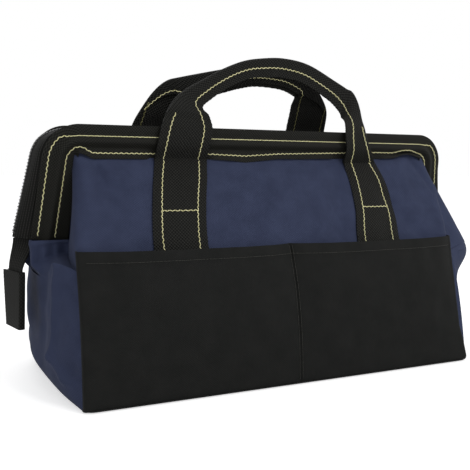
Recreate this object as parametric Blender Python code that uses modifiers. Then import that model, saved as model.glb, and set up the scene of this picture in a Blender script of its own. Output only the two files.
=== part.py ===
# Gate-mouth tool bag: a fabric body on a stiff base, four outside pockets, two webbing handles, and a zipped
# mouth held by two U-shaped steel rods that are riveted together at each end of the bag.
# X runs along the bag, the front faces -Y, and the bag stands on Z = 0 with the origin under its middle.
import math

import bmesh
import bpy
import numpy as np
from mathutils import Matrix, Vector

# Clearances and overruns
touch_gap = 0.0003
seam_gap = 0.0006

# Body
base_length = 0.400
base_depth = 0.190
wall_thickness = 0.0022
base_board_thickness = 0.003
base_corner_radius = 0.008
pocket_height = 0.127
body_bow = 0.018
corner_bow = 0.013
gusset_dip = 0.014
gusset_tab_clearance = 0.010
right_ear_reach = 0.022
right_ear_height = 0.112
right_ear_spread = 0.030
right_ear_depth = 0.046

# Mouth frame: each half is a U-shaped rod in the channel of a folded webbing band
band_width = 0.030
band_edge_thickness = 0.0018
band_channel_thickness = 0.0088
band_channel_width = 0.008
frame_foot_height = 0.134
frame_top_height = 0.217
frame_foot_overhang = 0.0095
frame_top_setback = 0.0005
frame_corner_radius = 0.017
frame_foot_lean = 0.011
frame_top_lean = 0.023
rod_diameter = 0.005
channel_clearance = 0.0006

# Pivots
pivot_drop = 0.014
eye_thickness = 0.0022
eye_radius = 0.0062
tang_half_width = 0.0034
tang_lap = 0.002
rod_end_drop = 0.005
rivet_diameter = 0.004
rivet_head_diameter = 0.009
rivet_head_thickness = 0.0015
pivot_tab_thickness = 0.0022
pivot_tab_width = 0.014
pivot_tab_length = 0.035

# Zip
zip_foot_reach = 0.0285
zip_side_reach = 0.0157
zip_top_rise = 0.014
zip_corner_radius = 0.034
tape_thickness = 0.001
tape_lap = 0.005
coil_diameter = 0.0024
coil_spacing = 0.0042
slider_length = 0.014
slider_width = 0.011
slider_inner_width = 0.0062
slider_plate_thickness = 0.0012
slider_post_width = 0.0011
slider_post_length = 0.004
slider_height_above_foot = 0.020
bail_thickness = 0.002
pull_length = 0.026
pull_width = 0.009
pull_thickness = 0.0016

# Zip ends
tail_width = 0.019
tail_end_width = 0.014
tail_thickness = 0.0016
tail_drop = 0.036
tail_reach = 0.0057
tail_angle = math.radians(45)
tail_end_angle = math.radians(72)
tail_top_shift = 0.003
tab_width = 0.026
tab_height = 0.050
tab_overlap = 0.006
tab_webbing = 0.0018
tab_twist = math.radians(7)

# Pockets
pocket_wall = 0.0016
pocket_gap = 0.011

# Handles
strap_width = 0.049
webbing_thickness = 0.002
strap_spacing = 0.206
strap_tuck = 0.060
handle_rise = 0.101
hinge_clearance = 0.0013
fold_lip = 0.003
fold_slit = 0.0005
lip_thickness = 0.0004

# Shares of the wall's thickness by which the upper panels start above the pockets and the end walls stand back
seam_lift_share = 0.4
seam_setback_share = 1.1

# Values that follow from the sizes above
half_base = base_length / 2
half_depth = base_depth / 2
pivot_height = frame_foot_height - pivot_drop
gusset_foot_rise = pivot_height - pivot_tab_length - gusset_tab_clearance
mouth_height = frame_top_height - band_width / 2
rod_foot_x = half_base + frame_foot_overhang
rod_top_x = half_base - frame_top_setback
floor_top = wall_thickness + touch_gap
wall_foot = wall_thickness + seam_gap
upper_start = pocket_height + seam_gap + wall_thickness * seam_lift_share
upper_end = mouth_height - touch_gap
channel_radius = rod_diameter / 2 + channel_clearance
eye_offset = (eye_thickness + touch_gap) / 2
tab_face_x = rod_foot_x + eye_offset + eye_thickness / 2 + touch_gap + pivot_tab_thickness
gusset_bulge = tab_face_x + touch_gap + wall_thickness - half_base + wall_thickness
zip_foot_x = rod_foot_x + zip_foot_reach
zip_top_x = rod_top_x + zip_side_reach
zip_top_height = frame_top_height + zip_top_rise
tape_edge_y = coil_spacing / 2 + coil_diameter / 2 + touch_gap
hinge_height = mouth_height + hinge_clearance
handle_depth = frame_top_lean + band_channel_thickness / 2 + 4 * touch_gap

# Shares of the row heights, columns and outlines
lower_row_shares = np.linspace(0, 1, 8)
upper_row_shares = np.linspace(0, 1, 7)
panel_column_shares = np.linspace(-1, 1, 17)
gusset_column_shares = np.linspace(-1, 1, 17)
fold_column_shares = np.linspace(-0.9, 0.9, 13)
gusset_dip_share = 0.35
ellipse_shares = (0, 1 / 3, 2 / 3, 1)
tail_corner_shares = ((-1, -1), (-0.33, -1), (0.33, -1), (1, -1), (1, 1), (0.33, 1), (-0.33, 1), (-1, 1))

# Handle stations: centre along X as a share of half the strap spacing, height as a share of the rise, turn of
# the webbing in degrees, width as a share of the strap's, and depth as a share of the handle's at its foot.
front_handle_shares = (
    (-0.922, 0.000, 0, 1.00, 0.87),
    (-0.898, 0.125, 0, 1.00, 1.00),
    (-0.869, 0.310, 1, 0.96, 0.94),
    (-0.823, 0.445, -6, 0.79, 0.75),
    (-0.760, 0.535, -24, 0.55, 0.52),
    (-0.575, 0.640, -62, 0.42, 0.35),
    (-0.218, 0.790, -70, 0.41, 0.19),
    (0.214, 0.890, -90, 0.41, 0.13),
    (0.602, 0.838, -113, 0.41, 0.15),
    (0.854, 0.690, -133, 0.42, 0.28),
    (0.947, 0.535, -160, 0.48, 0.47),
    (0.978, 0.360, -174, 0.58, 0.84),
    (0.988, 0.240, -178, 0.62, 0.98),
    (0.995, 0.120, -180, 0.67, 1.00),
    (0.995, 0.000, -180, 0.80, 0.87),
)
rear_handle_shares = (
    (-0.971, 0.000, 0, 1.00, 0.87),
    (-0.966, 0.125, 0, 1.00, 1.00),
    (-0.942, 0.300, 1, 0.98, 0.94),
    (-0.883, 0.435, -9, 0.82, 0.74),
    (-0.772, 0.610, -45, 0.60, 0.48),
    (-0.655, 0.680, -58, 0.46, 0.33),
    (-0.262, 0.800, -73, 0.41, 0.16),
    (0.194, 0.855, -90, 0.41, 0.08),
    (0.524, 0.800, -113, 0.42, 0.12),
    (0.728, 0.650, -155, 0.49, 0.30),
    (0.738, 0.535, -184, 0.82, 0.52),
    (0.709, 0.435, -186, 0.95, 0.74),
    (0.667, 0.275, -182, 0.99, 0.95),
    (0.704, 0.125, -180, 1.00, 1.00),
    (0.791, 0.000, -180, 1.00, 0.87),
)
# Each strap's centre at its foot and at its top, as shares of half the strap spacing
strap_lean_shares = {
    "front_left_strap": (-1, -1, -0.922),
    "front_right_strap": (-1, 1, 0.995),
    "rear_left_strap": (1, -1, -0.971),
    "rear_right_strap": (1, 1, 0.791),
}


def clear_scene():
    for item in list(bpy.data.objects):
        bpy.data.objects.remove(item, do_unlink=True)


def new_collection(name):
    collection = bpy.data.collections.new(name)
    bpy.context.scene.collection.children.link(collection)
    return collection


def finish_material(name, colour, roughness, metallic=0.0):
    material = bpy.data.materials.new(name)
    material.use_nodes = True
    shader = material.node_tree.nodes["Principled BSDF"]
    shader.inputs["Base Color"].default_value = (*colour, 1.0)
    shader.inputs["Roughness"].default_value = roughness
    shader.inputs["Metallic"].default_value = metallic
    material.diffuse_color = (*colour, 1.0)
    return material


navy = (0.034, 0.041, 0.088)
pocket_black = (0.016, 0.016, 0.016)
webbing_black = (0.010, 0.010, 0.011)
tape_black = (0.018, 0.017, 0.016)
board_grey = (0.060, 0.060, 0.060)
steel = (0.560, 0.550, 0.530)


def add_object(name, mesh, collection, colour, roughness=0.8, metallic=0.0):
    item = bpy.data.objects.new(name, mesh)
    collection.objects.link(item)
    mesh.materials.clear()
    mesh.materials.append(finish_material(name + "_finish", colour, roughness, metallic))
    return item


def smooth(item, angle=math.radians(35)):
    item.data.shade_smooth()
    item.data.set_sharp_from_angle(angle=angle)


def grid_mesh(name, rows, outward):
    # An open surface through rows of points, turned so that its faces look along the outward vector.
    shape = np.array(rows)
    row_count, column_count = shape.shape[:2]
    points = [tuple(point) for point in shape.reshape(-1, 3)]
    faces = []
    for row in range(row_count - 1):
        for column in range(column_count - 1):
            corner = row * column_count + column
            faces.append((corner, corner + 1, corner + 1 + column_count, corner + column_count))
    mesh = bpy.data.meshes.new(name)
    mesh.from_pydata(points, [], faces)
    facing = sum((face.normal * face.area for face in mesh.polygons), Vector())
    if facing.dot(Vector(outward)) < 0:
        mesh.flip_normals()
    return mesh


def add_wall(item, thickness, grow_out):
    solid = item.modifiers.new("wall", "SOLIDIFY")
    solid.thickness = thickness
    solid.offset = grow_out
    solid.use_even_offset = True
    return solid


def loft_mesh(name, rings):
    # A closed skin through rings that have the same number of points, with a face over each end.
    count = len(rings[0])
    points = [tuple(point) for ring in rings for point in ring]
    faces = []
    for ring in range(len(rings) - 1):
        for side in range(count):
            beside = (side + 1) % count
            low = ring * count
            faces.append((low + side, low + beside, low + count + beside, low + count + side))
    faces.append(tuple(range(count))[::-1])
    faces.append(tuple(range(len(points) - count, len(points))))
    mesh = bpy.data.meshes.new(name)
    mesh.from_pydata(points, [], faces)
    body = bmesh.new()
    body.from_mesh(mesh)
    bmesh.ops.recalc_face_normals(body, faces=body.faces)
    bmesh.ops.triangulate(body, faces=body.faces)
    body.to_mesh(mesh)
    body.free()
    return mesh


def curve_mesh(name, curve):
    # The closed mesh of a curve object, with its caps welded to its sides.
    helper = bpy.data.objects.new(name, curve)
    bpy.context.scene.collection.objects.link(helper)
    depsgraph = bpy.context.evaluated_depsgraph_get()
    mesh = bpy.data.meshes.new_from_object(helper.evaluated_get(depsgraph))
    body = bmesh.new()
    body.from_mesh(mesh)
    bmesh.ops.remove_doubles(body, verts=body.verts, dist=touch_gap / 100)
    bmesh.ops.recalc_face_normals(body, faces=body.faces)
    body.to_mesh(mesh)
    body.free()
    bpy.data.objects.remove(helper, do_unlink=True)
    mesh.name = name
    return mesh


def outline_mesh(name, outlines, thickness):
    # A flat plate in the XY plane, centred on it; outlines after the first are its holes.
    curve = bpy.data.curves.new(name, "CURVE")
    curve.dimensions = "2D"
    curve.fill_mode = "BOTH"
    curve.extrude = thickness / 2
    for outline in outlines:
        spline = curve.splines.new("POLY")
        spline.points.add(len(outline) - 1)
        for point, place in zip(spline.points, outline):
            point.co = (place[0], place[1], 0, 1)
        spline.use_cyclic_u = True
    return curve_mesh(name, curve)


def turned_mesh(name, profile, collection, colour, steps=20, roughness=0.35, metallic=1.0):
    # A profile of (radius, height) points, from the top of the axis down its outer side, turned round Z.
    mesh = bpy.data.meshes.new(name)
    points = [(radius, 0, height) for radius, height in profile]
    mesh.from_pydata(points, [(index, index + 1) for index in range(len(points) - 1)], [])
    item = add_object(name, mesh, collection, colour, roughness, metallic)
    screw = item.modifiers.new("turn", "SCREW")
    screw.axis = "Z"
    screw.steps = steps
    screw.render_steps = steps
    screw.use_merge_vertices = True
    screw.merge_threshold = touch_gap / 100
    screw.use_smooth_shade = False
    return item


def arc_points(centre, radius, start, end, count):
    return [
        (centre[0] + radius * math.cos(angle), centre[1] + radius * math.sin(angle))
        for angle in np.linspace(start, end, count)
    ]


def smooth_path(stations, steps):
    # A Catmull-Rom curve through rows of numbers, with the given number of steps between stations.
    rows = np.array(stations, dtype=float)
    padded = np.vstack((2 * rows[0] - rows[1], rows, 2 * rows[-1] - rows[-2]))
    path = []
    for index in range(len(rows) - 1):
        before, start, end, after = padded[index : index + 4]
        for share in np.linspace(0, 1, steps, endpoint=False):
            path.append(
                0.5
                * (
                    2 * start
                    + (end - before) * share
                    + (2 * before - 5 * start + 4 * end - after) * share**2
                    + (3 * start - before - 3 * end + after) * share**3
                )
            )
    path.append(rows[-1])
    return path


# Body surfaces


def frame_lean(height):
    # Distance of a frame half's middle plane from the bag's middle plane.
    rise = (height - frame_foot_height) / (frame_top_height - frame_foot_height)
    return frame_foot_lean + (frame_top_lean - frame_foot_lean) * rise


def band_inner_x(height):
    # Half the length between the inner edges of a band's two legs.
    rise = (height - frame_foot_height) / (frame_top_height - frame_foot_height)
    return rod_foot_x + (rod_top_x - rod_foot_x) * rise - band_width / 2


def corner_x(height):
    # Half the length of the body between its front corners: the base below, the band's legs above.
    top_x = band_inner_x(pocket_height) + wall_thickness + touch_gap
    if height <= pocket_height:
        return half_base + (top_x - half_base) * height / pocket_height
    return band_inner_x(height) + wall_thickness + touch_gap


def panel_depth(share, height):
    # Distance of a front or rear panel's outer face from the middle plane: a straight taper with a bow.
    mouth_depth = frame_lean(mouth_height) + band_edge_thickness / 2 + wall_thickness + seam_gap
    rise = height / mouth_height
    bow = corner_bow + (body_bow - corner_bow) * (1 - share**2)
    return half_depth + (mouth_depth - half_depth) * rise + bow * math.sin(math.pi * min(rise, 1))


def lower_heights():
    return wall_foot + (pocket_height - wall_foot) * lower_row_shares


def upper_heights():
    return upper_start + (upper_end - upper_start) * upper_row_shares


def add_panels(collection):
    for side, face in ((-1, "front"), (1, "rear")):
        rows = [
            [(share * corner_x(z), side * panel_depth(share, z), z) for share in panel_column_shares]
            for z in lower_heights()
        ]
        name = face + "_panel_lower"
        panel = add_object(name, grid_mesh(name, rows, (0, side, 0)), collection, navy)
        add_wall(panel, wall_thickness, -1)

        name = face + "_panel_upper"
        rows = []
        for z in upper_heights():
            leg_face = frame_lean(z) + band_edge_thickness / 2 + 2 * touch_gap
            corner = max(panel_depth(1, z), leg_face + wall_thickness)
            start = min(leg_face, corner - wall_thickness)
            ends = [(corner_x(z), start), (corner_x(z), (start + corner) / 2)]
            row = [(-x, side * y, z) for x, y in ends]
            row += [(share * corner_x(z), side * panel_depth(share, z), z) for share in panel_column_shares]
            row += [(x, side * y, z) for x, y in reversed(ends)]
            rows.append(row)
        panel = add_object(name, grid_mesh(name, rows, (0, side, 0)), collection, navy)
        add_wall(panel, wall_thickness, -1)


def gusset_point(hand, share, height):
    # The bowed end wall, which swells between the two corner seams and closes on the pivot tab.
    seam_depth = panel_depth(1, height) - wall_thickness * seam_setback_share - 2 * seam_gap
    rise = math.sin(math.pi / 2 * min(1, height / gusset_foot_rise))
    reach = gusset_bulge * rise * (1 - abs(share) ** 3)
    reach += (half_base - corner_x(height)) * (1 - abs(share) ** 3)
    if hand > 0:
        along = (share * seam_depth + right_ear_depth) / right_ear_spread
        up = (height - right_ear_height) / right_ear_spread
        reach += right_ear_reach * math.exp(-(along**2) - up**2) * (1 - share**8)
    return (hand * (corner_x(height) + reach), share * seam_depth, height)


def gusset_top(share):
    # The end wall dips between its corners, to leave room for the frame's feet as the mouth opens.
    climb = max(0, abs(share) - gusset_dip_share) / (1 - gusset_dip_share)
    return pocket_height - gusset_dip + gusset_dip * climb


def add_gussets(collection):
    fold_top = frame_foot_height - 2 * touch_gap
    for hand, end in ((-1, "left"), (1, "right")):
        rows = [
            [
                gusset_point(hand, share, wall_foot + (gusset_top(share) - wall_foot) * rise)
                for share in gusset_column_shares
            ]
            for rise in lower_row_shares
        ]
        name = end + "_gusset"
        gusset = add_object(name, grid_mesh(name, rows, (hand, 0, 0)), collection, navy)
        add_wall(gusset, wall_thickness, -1)

        rows = []
        for rise in (0, 0.5, 1):
            row = []
            for share in fold_column_shares:
                low = gusset_top(share) + 2 * seam_gap
                row.append(gusset_point(hand, share, low + (fold_top - low) * rise))
            rows.append(row)
        name = end + "_gusset_fold"
        fold = add_object(name, grid_mesh(name, rows, (hand, 0, 0)), collection, navy)
        add_wall(fold, wall_thickness, -1)


def rounded_box(name, low, high, radius, collection, colour, roughness=0.8):
    # A flat slab with its upright edges rounded.
    body = bmesh.new()
    bmesh.ops.create_cube(body, size=1)
    size = Vector(high) - Vector(low)
    bmesh.ops.scale(body, vec=size, verts=body.verts)
    bmesh.ops.translate(body, vec=(Vector(low) + Vector(high)) / 2, verts=body.verts)
    upright = [edge for edge in body.edges if abs((edge.verts[0].co - edge.verts[1].co).z) > size.z / 2]
    bmesh.ops.bevel(body, geom=upright, offset=radius, segments=4, profile=0.5, affect="EDGES")
    mesh = bpy.data.meshes.new(name)
    body.to_mesh(mesh)
    body.free()
    return add_object(name, mesh, collection, colour, roughness)


def add_base(collection):
    edge = half_depth + touch_gap + pocket_wall
    rounded_box(
        "base_panel",
        (-half_base, -edge, 0),
        (half_base, edge, wall_thickness),
        base_corner_radius,
        collection,
        pocket_black,
    )
    inner_x = half_base - wall_thickness - 4 * touch_gap
    inner_y = half_depth - wall_thickness - 4 * touch_gap
    rounded_box(
        "base_board",
        (-inner_x, -inner_y, floor_top),
        (inner_x, inner_y, floor_top + base_board_thickness),
        base_corner_radius,
        collection,
        board_grey,
    )


def pocket_offset(share, height):
    # The pocket stands away from the panel between its side seams and the stitched divider in the middle.
    belly = 1 - (2 * abs(share) - 1) ** 4
    return touch_gap + pocket_gap * belly * height / pocket_height


def add_pockets(collection):
    for side, face in ((-1, "front"), (1, "rear")):
        rows = [
            [
                (share * corner_x(z), side * (panel_depth(share, z) + pocket_offset(share, z)), z)
                for share in panel_column_shares
            ]
            for z in lower_heights()
        ]
        name = face + "_pocket_panel"
        pocket = add_object(name, grid_mesh(name, rows, (0, side, 0)), collection, pocket_black)
        add_wall(pocket, pocket_wall, 1)


def add_straps(collection):
    heights = [z for z in lower_heights() if z > pocket_height - strap_tuck] + list(upper_heights())
    for name, (side, foot_share, top_share) in strap_lean_shares.items():
        rows = []
        for z in heights:
            rise = max(0, (z - pocket_height) / (mouth_height - pocket_height))
            centre = strap_spacing / 2 * (foot_share + (top_share - foot_share) * rise)
            row = []
            for across in (-0.5, -0.25, 0, 0.25, 0.5):
                x = centre + across * strap_width
                row.append((x, side * (panel_depth(x / corner_x(z), z) + touch_gap), z))
            rows.append(row)
        strap = add_object(name, grid_mesh(name, rows, (0, side, 0)), collection, webbing_black)
        add_wall(strap, webbing_thickness, 1)


# Mouth frame


def arch_stations(foot_x, foot_z, top_x, top_z, radius):
    # A U on its head from the left foot to the right: straight legs, round corners and a straight top.
    # Each station is (x, z, outward x, outward z).
    leg = Vector((foot_x - top_x, foot_z - top_z)).normalized()
    turn = math.acos(-leg.y)
    half_turn = (math.pi - (math.pi / 2 + turn)) / 2
    setback = radius * math.tan(half_turn)
    start = Vector((top_x, top_z)) + leg * setback
    centre = Vector((top_x - setback, top_z - radius))
    leg_out = Vector((-leg.y, leg.x))
    stations = []
    for share in (0, 0.25, 0.5, 0.75):
        place = Vector((foot_x, foot_z)).lerp(start, share)
        stations.append((place.x, place.y, leg_out.x, leg_out.y))
    first = math.atan2(leg_out.y, leg_out.x)
    for angle in np.linspace(first, math.pi / 2, 7):
        out = (math.cos(angle), math.sin(angle))
        stations.append((centre.x + radius * out[0], centre.y + radius * out[1], out[0], out[1]))
    for share in (0.75, 0.5, 0.25):
        stations.append((centre.x * share, top_z, 0, 1))
    middle = [(0, top_z, 0, 1)]
    left = [(-x, z, -out_x, out_z) for x, z, out_x, out_z in stations]
    return left + middle + stations[::-1]


def band_stations():
    return arch_stations(rod_foot_x, frame_foot_height, rod_top_x, frame_top_height, frame_corner_radius)


def zip_stations():
    return arch_stations(zip_foot_x, frame_foot_height, zip_top_x, zip_top_height, zip_corner_radius)


def frame_point(side, station, across, proud):
    # A point of a frame half: across runs outward in its plane, proud away from the bag's middle.
    x, z, out_x, out_z = station
    height = z + out_z * across
    return (x + out_x * across, side * (frame_lean(height) + proud), height)


def band_section():
    half_width = band_width / 2
    edge = band_edge_thickness / 2
    bulge = band_channel_thickness / 2
    shoulder = band_channel_width / 2
    slope = (half_width + shoulder) / 2
    face = [(-half_width, edge), (-slope, edge), (-shoulder, bulge * 0.9), (0, bulge)]
    face += [(shoulder, bulge * 0.9), (slope, edge), (half_width, edge)]
    return face + [(across, -proud) for across, proud in reversed(face)]


def rod_stations():
    # The band's stations, with each leg run on below the band's foot to meet its flattened tang.
    stations = band_stations()
    foot, above = Vector(stations[0][:2]), Vector(stations[1][:2])
    down = (foot - above).normalized() * rod_end_drop
    end = (foot.x + down.x, foot.y + down.y, *stations[0][2:])
    return [end] + stations + [(-end[0], end[1], -end[2], end[3])]


def add_bands(collection, cutters):
    for side, face in ((-1, "front"), (1, "rear")):
        rings = [
            [frame_point(side, station, across, proud) for across, proud in band_section()]
            for station in band_stations()
        ]
        name = face + "_mouth_band"
        band = add_object(name, loft_mesh(name, rings), collection, webbing_black)
        circle = arc_points((0, 0), channel_radius, 0, math.tau * 9 / 10, 10)
        rings = [
            [frame_point(side, station, across, proud) for across, proud in circle] for station in rod_stations()
        ]
        bore = add_object(name + "_bore", loft_mesh(name + "_bore", rings), cutters, steel)
        bore.hide_render = True
        bore.display_type = "WIRE"
        channel = band.modifiers.new("channel", "BOOLEAN")
        channel.operation = "DIFFERENCE"
        channel.object = bore


def rod_curve(side):
    curve = bpy.data.curves.new("rod", "CURVE")
    curve.dimensions = "3D"
    curve.bevel_depth = rod_diameter / 2
    curve.bevel_resolution = 2
    curve.use_fill_caps = True
    spline = curve.splines.new("POLY")
    places = [frame_point(side, station, 0, 0) for station in rod_stations()]
    spline.points.add(len(places) - 1)
    for point, place in zip(spline.points, places):
        point.co = (*place, 1)
    return curve


def add_rods(collection, cutters):
    end = rod_stations()[0]
    for side, face in ((-1, "front"), (1, "rear")):
        name = face + "_frame_rod"
        rod = add_object(name, curve_mesh(name, rod_curve(side)), collection, steel, 0.35, 1.0)
        smooth(rod)
        foot_y = frame_lean(end[1])
        length = math.hypot(foot_y, end[1] - pivot_height) + tang_lap
        lean = math.atan2(foot_y, end[1] - pivot_height)
        waist = math.asin(tang_half_width / eye_radius)
        eye = arc_points((0, 0), eye_radius, math.pi / 2 + waist, math.pi * 5 / 2 - waist, 16)
        tip = arc_points((0, length - tang_half_width), tang_half_width, 0, math.pi, 8)
        hole = arc_points((0, 0), rivet_diameter / 2 + 1.5 * touch_gap, 0, math.tau * 15 / 16, 16)
        for hand in (-1, 1):
            plate = add_object(
                name + "_eye", outline_mesh(name + "_eye", [eye + tip, hole[::-1]], eye_thickness), cutters, steel
            )
            stand = Matrix(((0, 0, 1, 0), (1, 0, 0, 0), (0, 1, 0, 0), (0, 0, 0, 1)))
            outer = -side * eye_offset
            place = Matrix.Translation((hand * (rod_foot_x + outer), 0, pivot_height))
            plate.matrix_world = place @ Matrix.Rotation(-side * lean, 4, "X") @ stand
            plate.hide_render = True
            plate.display_type = "WIRE"
            joined = rod.modifiers.new("eye", "BOOLEAN")
            joined.operation = "UNION"
            joined.object = plate


def add_pivots(collection):
    pin = rivet_diameter / 2
    head = rivet_head_diameter / 2
    hole = arc_points((0, 0), pin + 1.5 * touch_gap, 0, math.tau * 15 / 16, 16)
    half_width = pivot_tab_width / 2
    outline = arc_points((0, 0), half_width, 0, math.pi, 10)
    outline += [(-half_width, -pivot_tab_length), (half_width, -pivot_tab_length)]
    inner_face = rod_foot_x - eye_offset - eye_thickness / 2 - touch_gap
    for hand, end in ((-1, "left"), (1, "right")):
        name = end + "_pivot_tab"
        tab = add_object(
            name, outline_mesh(name, [outline, hole[::-1]], pivot_tab_thickness), collection, webbing_black
        )
        stand = Matrix(((0, 0, 1, 0), (1, 0, 0, 0), (0, 1, 0, 0), (0, 0, 0, 1)))
        tab.matrix_world = Matrix.Translation((hand * (tab_face_x - pivot_tab_thickness / 2), 0, pivot_height)) @ stand
        name = end + "_pivot_rivet"
        profile = [
            (0, tab_face_x),
            (pin, tab_face_x),
            (pin, inner_face),
            (head, inner_face),
            (head * 0.85, inner_face - rivet_head_thickness),
            (0, inner_face - rivet_head_thickness),
        ]
        rivet = turned_mesh(name, profile, collection, steel)
        turn = Matrix.Rotation(hand * math.pi / 2, 4, "Y")
        rivet.matrix_world = Matrix.Translation((0, 0, pivot_height)) @ turn


# Zip


def tape_section(side, band, ridge):
    # From the band's inner face out past its edge, then a quarter ellipse up to the closed teeth.
    proud = -(band_edge_thickness + tape_thickness) / 2 - touch_gap
    root = frame_point(side, band, band_width / 2 - tape_lap, proud)
    edge = Vector(frame_point(side, band, band_width / 2 + touch_gap, proud))
    row = [root]
    for share in ellipse_shares:
        angle = share * math.pi / 2
        x = edge.x + (ridge[0] - edge.x) * math.sin(angle)
        z = edge.z + (ridge[1] - edge.z) * math.sin(angle)
        y = tape_edge_y + (abs(edge.y) - tape_edge_y) * math.cos(angle)
        row.append((x, side * y, z))
    return row


def add_zip_halves(collection):
    for side, face in ((-1, "front"), (1, "rear")):
        rows = [tape_section(side, band, ridge) for band, ridge in zip(band_stations(), zip_stations())]
        name = face + "_zip_tape"
        tape = add_object(name, grid_mesh(name, rows, (0, 0, 1)), collection, tape_black)
        add_wall(tape, tape_thickness, 0)
        name = face + "_zip_coil"
        curve = bpy.data.curves.new(name, "CURVE")
        curve.dimensions = "3D"
        curve.bevel_depth = coil_diameter / 2
        curve.bevel_resolution = 1
        curve.use_fill_caps = True
        spline = curve.splines.new("POLY")
        ridge = zip_stations()
        spline.points.add(len(ridge) - 1)
        for point, station in zip(spline.points, ridge):
            point.co = (station[0], side * coil_spacing / 2, station[1], 1)
        add_object(name, curve_mesh(name, curve), collection, tape_black, 0.5)


def leg_frame(height_above_foot):
    # Place and turn of something on the right leg's zip: local Z up the leg, local X away from the bag.
    foot, above = Vector(zip_stations()[-1][:2]), Vector(zip_stations()[-2][:2])
    up = (above - foot).normalized()
    place = foot + up * height_above_foot
    turn = math.atan2(up.x, up.y)
    return Matrix.Translation((place.x, 0, place.y)) @ Matrix.Rotation(turn, 4, "Y")


def box_mesh(name, low, high):
    body = bmesh.new()
    bmesh.ops.create_cube(body, size=1)
    bmesh.ops.scale(body, vec=Vector(high) - Vector(low), verts=body.verts)
    bmesh.ops.translate(body, vec=(Vector(low) + Vector(high)) / 2, verts=body.verts)
    mesh = bpy.data.meshes.new(name)
    body.to_mesh(mesh)
    body.free()
    return mesh


def add_slider(collection, cutters):
    # Two plates joined by the post that parts the teeth, with a bail for the pull on the outer plate.
    place = leg_frame(slider_height_above_foot)
    near = coil_diameter / 2 + touch_gap
    far = near + slider_plate_thickness
    half = slider_length / 2
    outer = [(-slider_width / 2, -half * 0.6), (-slider_width * 0.35, -half), (slider_width * 0.35, -half)]
    outer += [(slider_width / 2, -half * 0.6), (slider_width / 2, half * 0.5), (0, half), (-slider_width / 2, half * 0.5)]
    slider = add_object(
        "zip_slider", outline_mesh("zip_slider", [outer], slider_plate_thickness), collection, steel, 0.4, 1.0
    )
    stand = Matrix(((0, 0, 1, 0), (1, 0, 0, 0), (0, 1, 0, 0), (0, 0, 0, 1)))
    lift = Matrix.Translation(((near + far) / 2, 0, 0))
    slider.matrix_world = place @ lift @ stand
    inner_half = slider_inner_width / 2
    post_half = slider_post_width / 2
    parts = {
        "slider_inner_plate": ((-far, -inner_half, -half * 0.7), (-near, inner_half, half * 0.6)),
        "slider_post": (
            (-near - touch_gap, -post_half, -slider_post_length / 2),
            (near + touch_gap, post_half, slider_post_length / 2),
        ),
    }
    cheek = slider_width * 0.2
    for hand in (-1, 1):
        parts["slider_bail_" + ("left" if hand < 0 else "right")] = (
            (far - touch_gap, hand * cheek - bail_thickness / 2, -bail_thickness),
            (far + 2 * bail_thickness, hand * cheek + bail_thickness / 2, bail_thickness),
        )
    for name, (low, high) in parts.items():
        piece = add_object(name, box_mesh(name, low, high), cutters, steel)
        piece.matrix_world = place
        piece.hide_render = True
        piece.display_type = "WIRE"
        joined = slider.modifiers.new(name, "BOOLEAN")
        joined.operation = "UNION"
        joined.object = piece

    # The pull hangs between the bail's cheeks, flat along the zip, with a slot near its end.
    neck = cheek - bail_thickness / 2 - touch_gap
    half_pull = pull_width / 2
    shoulder = 2 * bail_thickness + 2 * touch_gap
    outline = arc_points((0, 0), neck, 0, math.pi, 6)
    outline += [(-neck, -shoulder), (-half_pull, -shoulder - half_pull / 2)]
    outline += arc_points((0, -pull_length + half_pull), half_pull, math.pi, math.tau, 9)
    outline += [(half_pull, -shoulder - half_pull / 2), (neck, -shoulder)]
    slot_half = half_pull * 0.45
    slot = arc_points((0, -pull_length + half_pull * 1.6), slot_half, math.pi, math.tau, 6)
    slot += arc_points((0, -pull_length + half_pull * 2.6), slot_half, 0, math.pi, 6)
    pull = add_object(
        "zip_pull", outline_mesh("zip_pull", [outline, slot[::-1]], pull_thickness), collection, steel, 0.4, 1.0
    )
    hang = Matrix.Translation((far + touch_gap + pull_thickness / 2 + bail_thickness / 2, 0, 0))
    pull.matrix_world = place @ hang @ stand


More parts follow.
